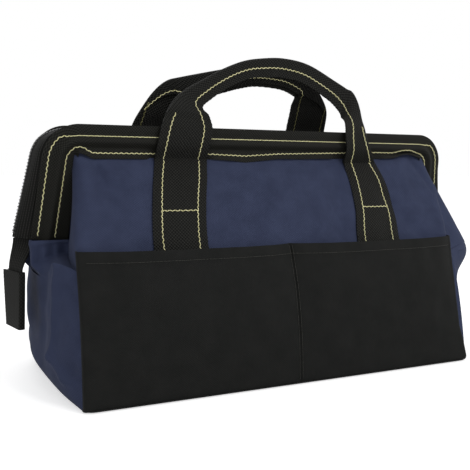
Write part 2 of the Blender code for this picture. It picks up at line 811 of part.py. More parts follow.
def add_zip_ends(collection):
    # The joined tapes run on past the last teeth as a short tail, gripped by a folded piece of webbing. The tail's
    # top is rounded about the pivots, so that the zip's ends pass over it as the mouth opens.
    top = frame_foot_height - touch_gap
    bottom = top - tail_drop
    for hand, end in ((-1, "left"), (1, "right")):
        rings = []
        for share in np.linspace(0, 1, 9):
            turned = min(1, share * tail_drop / (tail_drop - tab_overlap))
            ease = turned * turned * (3 - 2 * turned)
            angle = hand * (tail_angle + (tail_end_angle - tail_angle) * ease)
            half_width = (tail_width + (tail_end_width - tail_width) * ease) / 2
            along = Vector((math.cos(angle), math.sin(angle)))
            beside = Vector((-along.y, along.x))
            inset = math.cos(tail_angle) * tail_width / 2
            middle = zip_foot_x - inset + tail_top_shift * (1 - ease) + tail_reach * ease
            centre = Vector((hand * middle, 0))
            ring = []
            for x, y in tail_corner_shares:
                place = centre + along * (x * half_width) + beside * (y * tail_thickness / 2)
                crown = math.sqrt((top - pivot_height) ** 2 - place.y**2) - (top - pivot_height)
                ring.append((place.x, place.y, top + (bottom - top) * share + crown * (1 - turned)))
            rings.append(ring)
        name = end + "_zip_tail"
        add_object(name, loft_mesh(name, rings), collection, tape_black)

        inside = tail_thickness / 2 + touch_gap
        outside = inside + tab_webbing
        tab_top = bottom + tab_overlap
        centre_x = zip_foot_x - math.cos(tail_angle) * tail_width / 2 + tail_reach
        far_x = tail_end_width / 2 + touch_gap
        section = [
            (far_x - tab_width + tab_webbing, outside),
            (far_x + tab_webbing * 0.7, outside),
            (far_x + tab_webbing, outside * 0.6),
            (far_x + tab_webbing, -outside * 0.6),
            (far_x + tab_webbing * 0.7, -outside),
            (far_x - tab_width + tab_webbing, -outside),
            (far_x - tab_width + tab_webbing, -inside),
            (far_x, -inside),
            (far_x, inside),
            (far_x - tab_width + tab_webbing, inside),
        ]
        rings = []
        for share in (0, 0.12, 0.4, 0.7, 1):
            twist = tail_end_angle + tab_twist * max(0, share - 0.12)
            spin = Matrix.Rotation(twist, 2)
            ring = []
            for x, y in section:
                place = spin @ Vector((x, y))
                ring.append((hand * (centre_x + place.x), place.y, tab_top - tab_height * share))
            rings.append(ring)
        name = end + "_zip_tab"
        add_object(name, loft_mesh(name, rings), collection, webbing_black)


# Handles


def handle_ring(side, station):
    # Across runs from the folded edge to the open one, deep from the outer face towards the bag. The strap is
    # flat at its feet, and its outer edge folds over behind it, until on the grip it is doubled.
    centre_share, rise, turn, width_share, depth_share = station
    width = strap_width * width_share
    flap = min(max(strap_width - width, fold_lip), width - fold_lip)
    doubled = min(1, (flap - fold_lip) / (2 * fold_lip))
    flap_thickness = lip_thickness + (webbing_thickness - lip_thickness) * doubled
    slit = fold_slit * (0.4 + 0.6 * doubled)
    leaf = webbing_thickness
    total = leaf + slit + flap_thickness
    bend = total / 2
    section = [
        (width, 0),
        (width * 0.55, 0),
        (bend, 0),
        (0, bend),
        (bend, total),
        (flap, total),
        (flap, leaf + slit),
        (bend, leaf + slit),
        (bend * 0.85, leaf + slit / 2),
        (bend, leaf),
        (width * 0.55, leaf),
        (width, leaf),
    ]
    angle = math.radians(turn)
    across = Vector((math.cos(angle), math.sin(angle)))
    centre = Vector((centre_share * strap_spacing / 2, hinge_height + handle_rise * rise))
    inner_y = handle_depth * depth_share
    ring = []
    for reach, deep in section:
        place = centre + across * (reach - width / 2)
        ring.append((place.x, side * (inner_y + total - deep), place.y))
    return ring


def add_handles(collection):
    for side, name, stations in (
        (-1, "front_handle", front_handle_shares),
        (1, "rear_handle", rear_handle_shares),
    ):
        rings = [handle_ring(side, station) for station in smooth_path(stations, 3)]
        add_object(name, loft_mesh(name, rings), collection, webbing_black)


def main():
    clear_scene()
    bag = new_collection("tool_organizer_bag")
    cutters = new_collection("cutters")
    add_base(bag)
    add_panels(bag)
    add_gussets(bag)
    add_pockets(bag)
    add_straps(bag)
    add_bands(bag, cutters)
    add_rods(bag, cutters)
    add_pivots(bag)
    add_zip_halves(bag)
    add_slider(bag, cutters)
    add_zip_ends(bag)
    add_handles(bag)


main()
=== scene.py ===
# Gate-mouth tool bag: navy polyester body, black outside pockets, folded webbing handles with pale zigzag
# stitching, and a zipped mouth on two webbing-covered steel rods. All places are metres in the CAD frame.
import math

import bpy
import numpy as np
from mathutils import Matrix, Vector


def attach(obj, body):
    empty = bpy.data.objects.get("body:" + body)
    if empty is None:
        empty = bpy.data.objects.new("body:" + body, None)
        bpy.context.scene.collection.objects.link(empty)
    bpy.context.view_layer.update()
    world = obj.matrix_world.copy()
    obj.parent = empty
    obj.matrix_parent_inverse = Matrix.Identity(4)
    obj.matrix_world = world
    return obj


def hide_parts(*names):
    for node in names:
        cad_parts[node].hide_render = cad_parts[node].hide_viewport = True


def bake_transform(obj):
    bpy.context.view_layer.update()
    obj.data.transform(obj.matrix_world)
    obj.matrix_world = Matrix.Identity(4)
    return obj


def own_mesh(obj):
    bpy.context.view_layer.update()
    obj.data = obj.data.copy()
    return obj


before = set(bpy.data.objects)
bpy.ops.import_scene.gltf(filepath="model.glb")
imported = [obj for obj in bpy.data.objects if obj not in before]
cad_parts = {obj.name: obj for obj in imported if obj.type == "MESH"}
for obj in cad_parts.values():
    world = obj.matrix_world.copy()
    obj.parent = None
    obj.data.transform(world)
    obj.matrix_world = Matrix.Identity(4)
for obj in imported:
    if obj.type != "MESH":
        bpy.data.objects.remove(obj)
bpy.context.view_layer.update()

scene = bpy.context.scene
print("frame loaded:", len(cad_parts), "nodes")

# Mesh helpers


def meshFrom(name, points, faces, uv=None, material=None, sharp=40):
    # points is (n, 3), faces is (m, 4) indices, uv is (m, 4, 2) in millimetres
    mesh = bpy.data.meshes.new(name)
    mesh.vertices.add(len(points))
    mesh.vertices.foreach_set("co", np.asarray(points, np.float32).ravel())
    mesh.loops.add(faces.size)
    mesh.loops.foreach_set("vertex_index", faces.astype(np.int32).ravel())
    mesh.polygons.add(len(faces))
    mesh.polygons.foreach_set("loop_start", np.arange(0, faces.size, 4, dtype=np.int32))
    if uv is not None:
        layer = mesh.uv_layers.new(name="UVMap")
        layer.data.foreach_set("uv", np.asarray(uv, np.float32).ravel())
    mesh.update(calc_edges=True)
    mesh.shade_smooth()
    mesh.set_sharp_from_angle(angle=math.radians(sharp))
    item = bpy.data.objects.new(name, mesh)
    scene.collection.objects.link(item)
    if material:
        mesh.materials.append(material)
    return item


def gridFaces(rows, columns):
    # quads of a rows by columns grid of points, counted row by row
    corner = np.arange(rows * columns).reshape(rows, columns)[:-1, :-1].ravel()
    return np.stack([corner, corner + 1, corner + 1 + columns, corner + columns], 1)


def gridNormals(grid):
    # cross product of the change across and the change down, made unit length
    normal = np.cross(np.gradient(grid, axis=1), np.gradient(grid, axis=0))
    return normal / np.maximum(np.linalg.norm(normal, axis=2, keepdims=True), 1e-12)


def gridUv(grid):
    # length run along each row from its middle, and down the mean column, both in millimetres
    across = np.linalg.norm(np.diff(grid, axis=1), axis=2)
    u = np.concatenate([np.zeros((len(grid), 1)), np.cumsum(across, 1)], 1)
    u -= u[:, [grid.shape[1] // 2]]
    down = np.linalg.norm(np.diff(grid, axis=0), axis=2).mean(1)
    v = np.concatenate([[0], np.cumsum(down)])[:, None] + np.zeros_like(u)
    return np.stack([u, v], 2) * 1000


def shellMesh(name, grid, thickness, outward, material):
    # a closed sheet: the outer skin is the grid, the inner one lies thickness behind it along its normals,
    # and a strip of quads round the border joins them
    rows, columns = grid.shape[:2]
    normal = gridNormals(grid)
    flip = (normal * np.array(outward)).sum() < 0
    normal = -normal if flip else normal
    thick = np.broadcast_to(thickness, (rows, columns))[..., None]
    points = np.concatenate([grid.reshape(-1, 3), (grid - normal * thick).reshape(-1, 3)])
    outer = gridFaces(rows, columns)
    count = rows * columns
    index = np.arange(count).reshape(rows, columns)
    border = np.concatenate([index[0, :-1], index[:-1, -1], index[-1, :0:-1], index[:0:-1, 0]])
    ahead = np.roll(border, -1)
    rim = np.stack([ahead, border, border + count, ahead + count], 1)
    faces = np.concatenate([outer, outer[:, ::-1] + count, rim])
    faces = faces[:, ::-1] if flip else faces
    flat = np.tile(gridUv(grid).reshape(-1, 2), (2, 1))
    return meshFrom(name, points, faces, flat[faces], material)


def sweepFaces(rings, section):
    # quads between following rings of a closed section, with strips of quads over the two ends
    here = np.arange(rings - 1)[:, None] * section
    place = np.arange(section)[None]
    beside = (place + 1) % section
    ahead = here + section
    body = np.stack([here + place, here + beside, ahead + beside, ahead + place], 2).reshape(-1, 4)
    low = np.arange(section // 2 - 1)
    cap = np.stack([low, section - 1 - low, section - 2 - low, low + 1], 1)
    return np.concatenate([body, cap, cap[:, ::-1] + (rings - 1) * section])


def pointsOutward(points, faces):
    # whether the quads of a closed mesh face outwards: the sign of the volume under their two halves
    corner = points[faces] - points[0]
    halves = np.cross(corner[:, 1], corner[:, 2]) + np.cross(corner[:, 2], corner[:, 3])
    return (corner[:, 0] * halves).sum() > 0


def sweepMesh(name, rings, material, sharp=40):
    # a section carried along a path: rings is (rings, section, 3), u runs round the section and v along it
    count, section = rings.shape[:2]
    faces = sweepFaces(count, section)
    around = np.linalg.norm(np.diff(rings, axis=1, append=rings[:, :1]), axis=2)
    u = np.concatenate([np.zeros((count, 1)), np.cumsum(around, 1)], 1)
    step = np.linalg.norm(np.diff(rings, axis=0), axis=2).mean(1)
    v = np.concatenate([[0], np.cumsum(step)])
    grid = np.stack([u, v[:, None] + 0 * u], 2)
    corners = [grid[:-1, :-1], grid[:-1, 1:], grid[1:, 1:], grid[1:, :-1]]
    uv = np.stack(corners, 2).reshape(-1, 4, 2)
    ends = faces[len(uv) :]
    uv = np.concatenate([uv, grid[:, :-1].reshape(-1, 2)[ends]])
    points = rings.reshape(-1, 3)
    if not pointsOutward(points, faces):
        faces, uv = faces[:, ::-1], uv[:, ::-1]
    return meshFrom(name, points, faces, uv * 1000, material, sharp)


def smoothStep(value, low, high):
    # 0 below low, 1 above high, and 3t2 - 2t3 between them
    t = np.clip((value - low) / (high - low), 0, 1)
    return t * t * (3 - 2 * t)


def foldRelief(a, b, folds):
    # height of soft creases: each is a line from (a1, b1) to (a2, b2) with a bell-shaped section of the
    # given half width and depth, fading past its ends; all in millimetres
    total = np.zeros(np.broadcast(a, b).shape)
    for a1, b1, a2, b2, width, depth in folds:
        length = math.hypot(a2 - a1, b2 - b1)
        da, db = (a2 - a1) / length, (b2 - b1) / length
        along = (a - a1) * da + (b - b1) * db
        off = (b - b1) * da - (a - a1) * db
        past = np.maximum(np.maximum(-along, along - length), 0)
        total += depth * np.exp(-((off / width) ** 2) - (past / (1.5 * width)) ** 2)
    return total


slack = {"waves": 7, "shortest": 28, "longest": 95}     # wave lengths in millimetres


def ripple(a, b, size, seed):
    # seeded waves of different length and direction, added up: the slack of cut cloth
    rng = np.random.default_rng(seed)
    total = 0
    for wave in np.linspace(slack["shortest"], slack["longest"], slack["waves"]):
        angle, phase = rng.uniform(0, math.tau, 2)
        total = total + np.sin(math.tau * (a * math.cos(angle) + b * math.sin(angle)) / wave + phase)
    return size * total / math.sqrt(slack["waves"])


def lengthsAlong(path):
    # the length run along a row of points, up to each of them
    step = np.linalg.norm(np.diff(path[:, :3], axis=0), axis=1)
    return np.concatenate([[0], np.cumsum(step)])


def resample(path, at):
    # a row of points, and any values beside them, read at the given lengths along the path
    length = lengthsAlong(path)
    return np.stack([np.interp(at, length, path[:, k]) for k in range(path.shape[1])], -1)


def catmullRom(stations, steps):
    # a smooth curve through rows of numbers, a cubic of each four neighbours, with the given number of
    # steps between stations
    rows = np.asarray(stations, float)
    padded = np.vstack([2 * rows[0] - rows[1], rows, 2 * rows[-1] - rows[-2]])
    before, start, end, after = padded[:-3, None], padded[1:-2, None], padded[2:-1, None], padded[3:, None]
    t = np.linspace(0, 1, steps, endpoint=False)[None, :, None]
    curve = 0.5 * (2 * start + (end - before) * t + (2 * before - 5 * start + 4 * end - after) * t**2
                   + (3 * start - before - 3 * end + after) * t**3)
    return np.vstack([curve.reshape(-1, rows.shape[1]), rows[-1:]])


stitch = {
    "pitch": 0.00235,       # one leg of the zigzag
    "thread": 0.00046,      # radius of the thread
    "slant": 0.00052,       # how far the zigzag's corners lie to each side of the row
    "lift": 0.0003,         # how far a leg's middle stands off the cloth
    "sink": 0.15,           # share of the thread's radius that lies in the cloth
    "overlap": 1.08,        # length of a leg as a share of its pitch
    "sides": 6,
    # rings of a leg: their places as shares of its length, and their radii as shares of the thread's
    "places": (-0.5, -0.3, 0, 0.3, 0.5),
    "radii": (0.7, 0.95, 1.1, 0.95, 0.7),
}


def stitchRow(path, normal, pitch=stitch["pitch"], thread=stitch["thread"], slant=stitch["slant"]):
    # points (stitches, rings, sides, 3) of a row of zigzag stitches: each leg is a rope that leans the
    # other way from the one before it and dives at its ends
    length = lengthsAlong(path)[-1]
    count = max(1, int(length / pitch))
    share = np.array(stitch["places"])
    lean = np.where(np.arange(count) % 2, -1, 1)[:, None, None]
    at = ((np.arange(count)[:, None] + 0.5) + share * stitch["overlap"]) * length / count
    place = resample(np.concatenate([path, normal], 1), at)
    point, up = place[..., :3], place[..., 3:]
    up = up / np.linalg.norm(up, axis=2, keepdims=True)
    along = np.gradient(point, axis=1)
    along /= np.linalg.norm(along, axis=2, keepdims=True)
    side = np.cross(up, along)
    dive = stitch["lift"] * (1 - (2 * np.abs(share)) ** 2.5) - thread * stitch["sink"]
    middle = point + side * lean * (2 * slant * share)[None, :, None]
    middle = middle + up * dive[None, :, None]
    radius = thread * np.array(stitch["radii"])
    turn = (np.arange(stitch["sides"]) * math.tau / stitch["sides"])[None, None, :, None]
    ring = side[:, :, None] * np.cos(turn) + up[:, :, None] * np.sin(turn)
    return middle[:, :, None] + ring * radius[None, :, None, None]


def ropesMesh(name, rows, material, sharp=60):
    # all the short ropes of one piece in one mesh, from rows of them, each (ropes, rings, sides, 3)
    ropes = np.concatenate(rows)
    rings, sides = ropes.shape[1:3]
    one = sweepFaces(rings, sides)
    faces = (one[None] + (np.arange(len(ropes)) * rings * sides)[:, None, None]).reshape(-1, 4)
    points = ropes.reshape(-1, 3)
    if not pointsOutward(points, one):
        faces = faces[:, ::-1]
    return meshFrom(name, points, faces, None, material, sharp)


# Materials


def toLinear(colour):
    # sRGB hex to the linear values that Blender works in
    value = np.array([int(colour[k : k + 2], 16) for k in (1, 3, 5)]) / 255
    linear = np.where(value <= 0.04045, value / 12.92, ((value + 0.055) / 1.055) ** 2.4)
    return (*map(float, linear), 1.0)


def addNode(tree, kind, settings=None, links=None):
    # one node, its properties or inputs by name, and its links as {input: (node, output)}
    node = tree.nodes.new(kind)
    for key, value in (settings or {}).items():
        if isinstance(key, str) and hasattr(node, key):
            setattr(node, key, value)
        else:
            node.inputs[key].default_value = value
    for key, (source, output) in (links or {}).items():
        tree.links.new(source.outputs[output], node.inputs[key])
    return node


def newMaterial(name, colour, roughness, sockets=None):
    # a Principled material, with its colour and roughness, and any other socket by name
    material = bpy.data.materials.new(name)
    material.use_nodes = True
    shader = material.node_tree.nodes["Principled BSDF"]
    shader.inputs["Base Color"].default_value = toLinear(colour)
    shader.inputs["Roughness"].default_value = roughness
    for key, value in (sockets or {}).items():
        shader.inputs[key].default_value = value
    return material, material.node_tree, shader


def weave(tree, source, across, along, mixed=0.25):
    # plain weave: sine over the warp spacing times sine over the weft spacing, both in millimetres, plus
    # the thickness noise of the yarns
    parts = addNode(tree, "ShaderNodeSeparateXYZ", None, {"Vector": source})
    waves = []
    for axis, spacing in (("X", across), ("Y", along)):
        halfTurn = math.pi / spacing
        turns = addNode(tree, "ShaderNodeMath", {"operation": "MULTIPLY", 1: halfTurn}, {0: (parts, axis)})
        waves.append(addNode(tree, "ShaderNodeMath", {"operation": "SINE"}, {0: (turns, 0)}))
    cross = addNode(tree, "ShaderNodeMath", {"operation": "MULTIPLY"}, {0: (waves[0], 0), 1: (waves[1], 0)})
    yarn = addNode(tree, "ShaderNodeTexNoise", {"Scale": 1.1 / across, "Detail": 2.0}, {"Vector": source})
    uneven = addNode(tree, "ShaderNodeMath", {"operation": "MULTIPLY", 1: mixed * 2}, {0: (yarn, "Fac")})
    return addNode(tree, "ShaderNodeMath", {"operation": "ADD"}, {0: (cross, 0), 1: (uneven, 0)})


def shadeBy(tree, shader, value, low, high, darker, lighter):
    # the base colour runs from darker to lighter as the value runs from low to high
    span = addNode(tree, "ShaderNodeMapRange", {"From Min": low, "From Max": high}, {"Value": value})
    colour = addNode(tree, "ShaderNodeMix", {"data_type": "RGBA"}, {0: (span, 0)})
    colour.inputs[6].default_value = toLinear(darker)
    colour.inputs[7].default_value = toLinear(lighter)
    tree.links.new(colour.outputs[2], shader.inputs["Base Color"])


def bumpBy(tree, shader, height, distance, strength, under=None):
    # surface relief in metres from a height of about -1 to 1, on top of the bump under it
    links = {"Height": height}
    if under:
        links["Normal"] = (under, 0)
    bump = addNode(tree, "ShaderNodeBump", {"Distance": distance, "Strength": strength}, links)
    tree.links.new(bump.outputs[0], shader.inputs["Normal"])


def clothMaterial(name, darker, lighter, roughness, spacing, relief, sheen):
    # woven cloth: its threads, spaced in millimetres, over broad patches of a slightly other tone and slack
    sockets = {"Sheen Weight": sheen, "Sheen Roughness": 0.4, "Specular IOR Level": 0.09}
    material, tree, shader = newMaterial(name, lighter, roughness, sockets)
    uv = addNode(tree, "ShaderNodeUVMap", {"uv_map": "UVMap"})
    threads = weave(tree, (uv, 0), spacing, spacing * 0.85)
    broad = {"Scale": 0.045, "Detail": 3.0, "Roughness": 0.6}    # patches about 22 mm across
    patches = addNode(tree, "ShaderNodeTexNoise", broad, {"Vector": (uv, 0)})
    tone = addNode(tree, "ShaderNodeMath", {"operation": "MULTIPLY", 1: 0.16}, {0: (threads, 0)})
    mixed = addNode(tree, "ShaderNodeMath", {"operation": "ADD"}, {0: (tone, 0), 1: (patches, "Fac")})
    shadeBy(tree, shader, (mixed, 0), 0.25, 0.95, darker, lighter)
    loose = {"Distance": 0.0012, "Strength": 0.6}
    under = addNode(tree, "ShaderNodeBump", loose, {"Height": (patches, "Fac")})
    bumpBy(tree, shader, (threads, 0), relief, 0.8, under)
    return material


# 600-denier polyester, woven and coated inside: matt, with a fine thread grain. The real threads lie 0.5 mm
# apart, too fine for the picture, so they are drawn at 1.3 mm.
navyCloth = clothMaterial("woven_polyester_navy", "#2f354b", "#3d445d", 0.8, 1.3, 0.00012, 0.04)
# 420-denier nylon for the pockets: finer and flatter than the body cloth, near black
pocketCloth = clothMaterial("woven_nylon_black", "#171817", "#212120", 0.75, 1.1, 0.00007, 0.02)


def webbingMaterial(name, darker, lighter, across, along, relief):
    # polypropylene webbing: thick warp cords under tight picks, so the surface glints in small scales
    material, tree, shader = newMaterial(name, lighter, 0.62, {"Specular IOR Level": 0.12})
    uv = addNode(tree, "ShaderNodeUVMap", {"uv_map": "UVMap"})
    cords = weave(tree, (uv, 0), across, along, 0.3)
    shadeBy(tree, shader, (cords, 0), -0.3, 1.2, darker, lighter)
    bumpBy(tree, shader, (cords, 0), relief, 1.0)
    return material


# 50 mm polypropylene webbing: cords about 1.5 mm wide, picks every 1.6 mm
strapWebbing = webbingMaterial("woven_polypropylene_webbing", "#060605", "#2a2a27", 1.5, 1.6, 0.0004)
# the lighter tape that covers the frame rods: finer ribs
bandWebbing = webbingMaterial("woven_binding_webbing", "#0b0b09", "#2a2a26", 1.3, 1.3, 0.00025)


def grainedMaterial(name, colour, roughness, sockets, pattern, span, shades, relief=None):
    # a finish with a fine grain: the pattern is a texture node, its settings and its output. The colour
    # runs over the shades across the span of its values, and the relief is its height in metres and its
    # strength.
    material, tree, shader = newMaterial(name, colour, roughness, sockets)
    place = addNode(tree, "ShaderNodeTexCoord")
    kind, settings, output = pattern
    grain = addNode(tree, kind, settings, {"Vector": (place, "Object")})
    shadeBy(tree, shader, (grain, output), *span, *shades)
    if relief:
        bumpBy(tree, shader, (grain, output), *relief)
    return material


def noisePattern(scale, detail):
    # a noise over metres, whose marks are one over the scale wide
    return "ShaderNodeTexNoise", {"Scale": scale, "Detail": detail}, "Fac"


def threadMaterial(name, colour, shade):
    # bonded polyester sewing thread, twisted: satin, with darker marks 1 mm long between its plies
    return grainedMaterial(name, colour, 0.5, {"Specular IOR Level": 0.2}, noisePattern(900.0, 1.0),
                           (0.3, 0.6), (shade, colour))


paleThread = threadMaterial("twisted_polyester_thread_yellow", "#f3eebe", "#d0ca8c")
# the same pale thread painted darker: painted shade for the rows on the handles' inner faces and the bands'
# inner leaves, which lie in shadow
paintedShadeThread = threadMaterial("twisted_polyester_thread_painted_shade", "#8d8a5e", "#5c5937")
blackThread = threadMaterial("twisted_polyester_thread_black", "#33332f", "#1d1d1b")

# galvanised steel wire of the frame: bright grey with a faint pattern of crystals 2.4 mm across
crystals = ("ShaderNodeTexVoronoi", {"Scale": 420.0}, "Distance")
frameWire = grainedMaterial("galvanised_steel_wire", "#b9bab8", 0.34, {"Metallic": 1.0}, crystals, (0.0, 0.6),
                            ("#9fa1a1", "#c2c3c0"), (0.00006, 0.4))
# die-cast zinc slider, painted black: a satin face with marks of 1.4 mm from use
sliderMetal = grainedMaterial("painted_zinc_casting", "#2a2a2b", 0.38, None, noisePattern(700.0, 3.0),
                              (0.35, 0.7), ("#1d1d1e", "#3a3a3b"), (0.00008, 0.5))
# grey solid board of pressed fibre in the floor of the bag: matt, with flecks of fibre 4 mm across
fibreBoard = grainedMaterial("pressed_fibre_board", "#4a4a4a", 0.9, None, noisePattern(260.0, 5.0),
                             (0.3, 0.7), ("#3c3c3b", "#585855"), (0.0002, 0.5))
# moulded nylon teeth: black, satin, with fine scratches of 2 mm from use
zipTeeth = grainedMaterial("moulded_nylon_black", "#151515", 0.35, None, noisePattern(500.0, 2.0),
                           (0.4, 0.75), ("#111112", "#2c2c2d"))
print("materials made")

# Camera: the photograph's viewpoint, worked out from the bag's corners
camera = {"yaw": 26.25, "pitch": 6.20, "roll": 0.88, "lens": 56.18, "place": (-0.3445, -0.6531, 0.2072)}
yaw, pitch, roll = (math.radians(camera[key]) for key in ("yaw", "pitch", "roll"))
forward = Vector((math.sin(yaw) * math.cos(pitch), math.cos(yaw) * math.cos(pitch), -math.sin(pitch)))
level = Vector((math.cos(yaw), -math.sin(yaw), 0))
above = level.cross(forward)
right = math.cos(roll) * level + math.sin(roll) * above
up = -math.sin(roll) * level + math.cos(roll) * above
cameraItem = bpy.data.objects.new("camera", bpy.data.cameras.new("camera"))
cameraItem.data.lens = camera["lens"]
cameraItem.data.clip_start = 0.01
turned = Matrix((right, up, -forward)).transposed().to_4x4()
cameraItem.matrix_world = Matrix.Translation(camera["place"]) @ turned
scene.collection.objects.link(cameraItem)
scene.camera = cameraItem
scene.view_settings.view_transform = "Standard"

# Studio: a white floor that keeps the contact shadow, a white world, one large key lamp and two fills
studio = {
    "world": 0.52, "floorGlow": 0.55, "floorHalf": 6.0, "aim": (0, 0, 0.1),
    # each lamp's place, size and power
    "lamps": {
        "key": ((0.75, -1.5, 1.45), 0.9, 15.0),
        "fill": ((-1.5, -0.9, 0.8), 1.2, 2.0),
        "top": ((0.1, 0.9, 1.7), 1.4, 5.0),
    },
}
scene.world = bpy.data.worlds.new("studio")
scene.world.use_nodes = True
worldTree = scene.world.node_tree
worldTree.nodes.clear()
seen = addNode(worldTree, "ShaderNodeLightPath")
either = addNode(worldTree, "ShaderNodeMath", {"operation": "MAXIMUM"},
                 {0: (seen, "Is Camera Ray"), 1: (seen, "Is Glossy Ray")})
anySeen = addNode(worldTree, "ShaderNodeMath", {"operation": "MAXIMUM"},
                  {0: (either, 0), 1: (seen, "Is Transmission Ray")})
glow = addNode(worldTree, "ShaderNodeMapRange", {"To Min": studio["world"], "To Max": 1.0},
               {"Value": (anySeen, 0)})
sky = addNode(worldTree, "ShaderNodeBackground", {"Color": (1, 1, 1, 1)}, {"Strength": (glow, 0)})
addNode(worldTree, "ShaderNodeOutputWorld", None, {"Surface": (sky, 0)})

floorMaterial, floorTree, floorShader = newMaterial("white_studio_floor", "#f4f4f4", 0.9)
floorSeen = addNode(floorTree, "ShaderNodeLightPath")
floorGlow = addNode(floorTree, "ShaderNodeMath", {"operation": "MULTIPLY", 1: studio["floorGlow"]},
                    {0: (floorSeen, "Is Camera Ray")})
floorShader.inputs["Emission Color"].default_value = (1, 1, 1, 1)
floorTree.links.new(floorGlow.outputs[0], floorShader.inputs["Emission Strength"])
floorCorners = studio["floorHalf"] * np.array([(-1, -1, 0), (1, -1, 0), (1, 1, 0), (-1, 1, 0)])
floor = meshFrom("floor", floorCorners, np.array([[0, 1, 2, 3]]), None, floorMaterial)


def areaLamp(name, place, size, power):
    # a square lamp that looks at the bag
    lamp = bpy.data.lights.new(name, "AREA")
    lamp.size = size
    lamp.energy = power
    item = bpy.data.objects.new(name, lamp)
    item.location = place
    item.rotation_euler = (Vector(studio["aim"]) - Vector(place)).to_track_quat("-Z", "Y").to_euler()
    scene.collection.objects.link(item)


for name, values in studio["lamps"].items():
    areaLamp(name, *values)
print("camera and studio set")

# Body surfaces, as the CAD model has them: heights, half lengths and depths from the bag's middle
bag = {
    "halfLength": 0.2, "baseDepth": 0.095, "mouthDepth": 0.0245, "mouthTop": 0.202, "pocketTop": 0.127,
    "sideBow": 0.013, "middleBow": 0.005, "pocketBow": 0.011, "pocketGap": 0.0003,
    # the frame halves' planes and the inner sides of their legs: at the feet, and their change over the rise
    "feet": 0.134, "rise": 0.083, "lean": 0.011, "leanMore": 0.012, "legX": 0.1945, "legIn": 0.010,
    "cornerGap": 0.0025,
    # the end walls: what lies between a panel's face and their seam, and how far and how high they swell
    "seamFold": 0.0022 * 1.1, "seamWall": 0.0012, "endSwell": 0.0191, "endSwellTop": 0.075,
    # the right end's ear: place along Y and Z, size and reach
    "earY": 0.046, "earZ": 0.112, "earSize": 0.030, "earReach": 0.022,
}


def frameLean(z):
    # distance of a frame half's plane from the bag's middle: a straight line up the frame
    return bag["lean"] + bag["leanMore"] * (z - bag["feet"]) / bag["rise"]


def bandInnerX(z):
    # distance of a leg's inner side from the bag's middle: a straight line up the frame
    return bag["legX"] - bag["legIn"] * (z - bag["feet"]) / bag["rise"]


def cornerX(z):
    # half the body's length: straight from the base to the pocket's top, then along the frame's legs
    half, low = bag["halfLength"], bag["pocketTop"]
    top = bandInnerX(low) + bag["cornerGap"]
    return np.where(z <= low, half + (top - half) * z / low, bandInnerX(z) + bag["cornerGap"])


def panelDepth(share, z):
    # a straight taper from 95 mm at the base to 24.5 mm at the mouth, plus half a sine wave of bow
    bow = bag["sideBow"] + bag["middleBow"] * (1 - share**2)
    taper = bag["baseDepth"] + (bag["mouthDepth"] - bag["baseDepth"]) * z / bag["mouthTop"]
    return taper + bow * np.sin(np.pi * np.minimum(z / bag["mouthTop"], 1))


def pocketOffset(share, z):
    # the pocket stands off the panel between its side seams and the divider, the more the higher up
    return bag["pocketGap"] + bag["pocketBow"] * (1 - (2 * np.abs(share) - 1) ** 4) * z / bag["pocketTop"]


def gussetPoint(hand, share, z):
    # the end wall between the corner seams, which swells out along a quarter sine wave up from the base,
    # with the bell-shaped ear that stands out at the right end's front
    seam = panelDepth(1, z) - bag["seamFold"] - bag["seamWall"]
    full = 1 - np.abs(share) ** 3
    swell = bag["endSwell"] * np.sin(np.pi / 2 * np.minimum(1, z / bag["endSwellTop"])) * full
    reach = swell + (bag["halfLength"] - cornerX(z)) * full
    if hand > 0:
        off = ((share * seam + bag["earY"]) / bag["earSize"]) ** 2
        ear = np.exp(-off - ((z - bag["earZ"]) / bag["earSize"]) ** 2)
        reach = reach + bag["earReach"] * ear * (1 - share**8)
    return np.stack([hand * (cornerX(z) + reach), share * seam, z + 0 * share], -1)


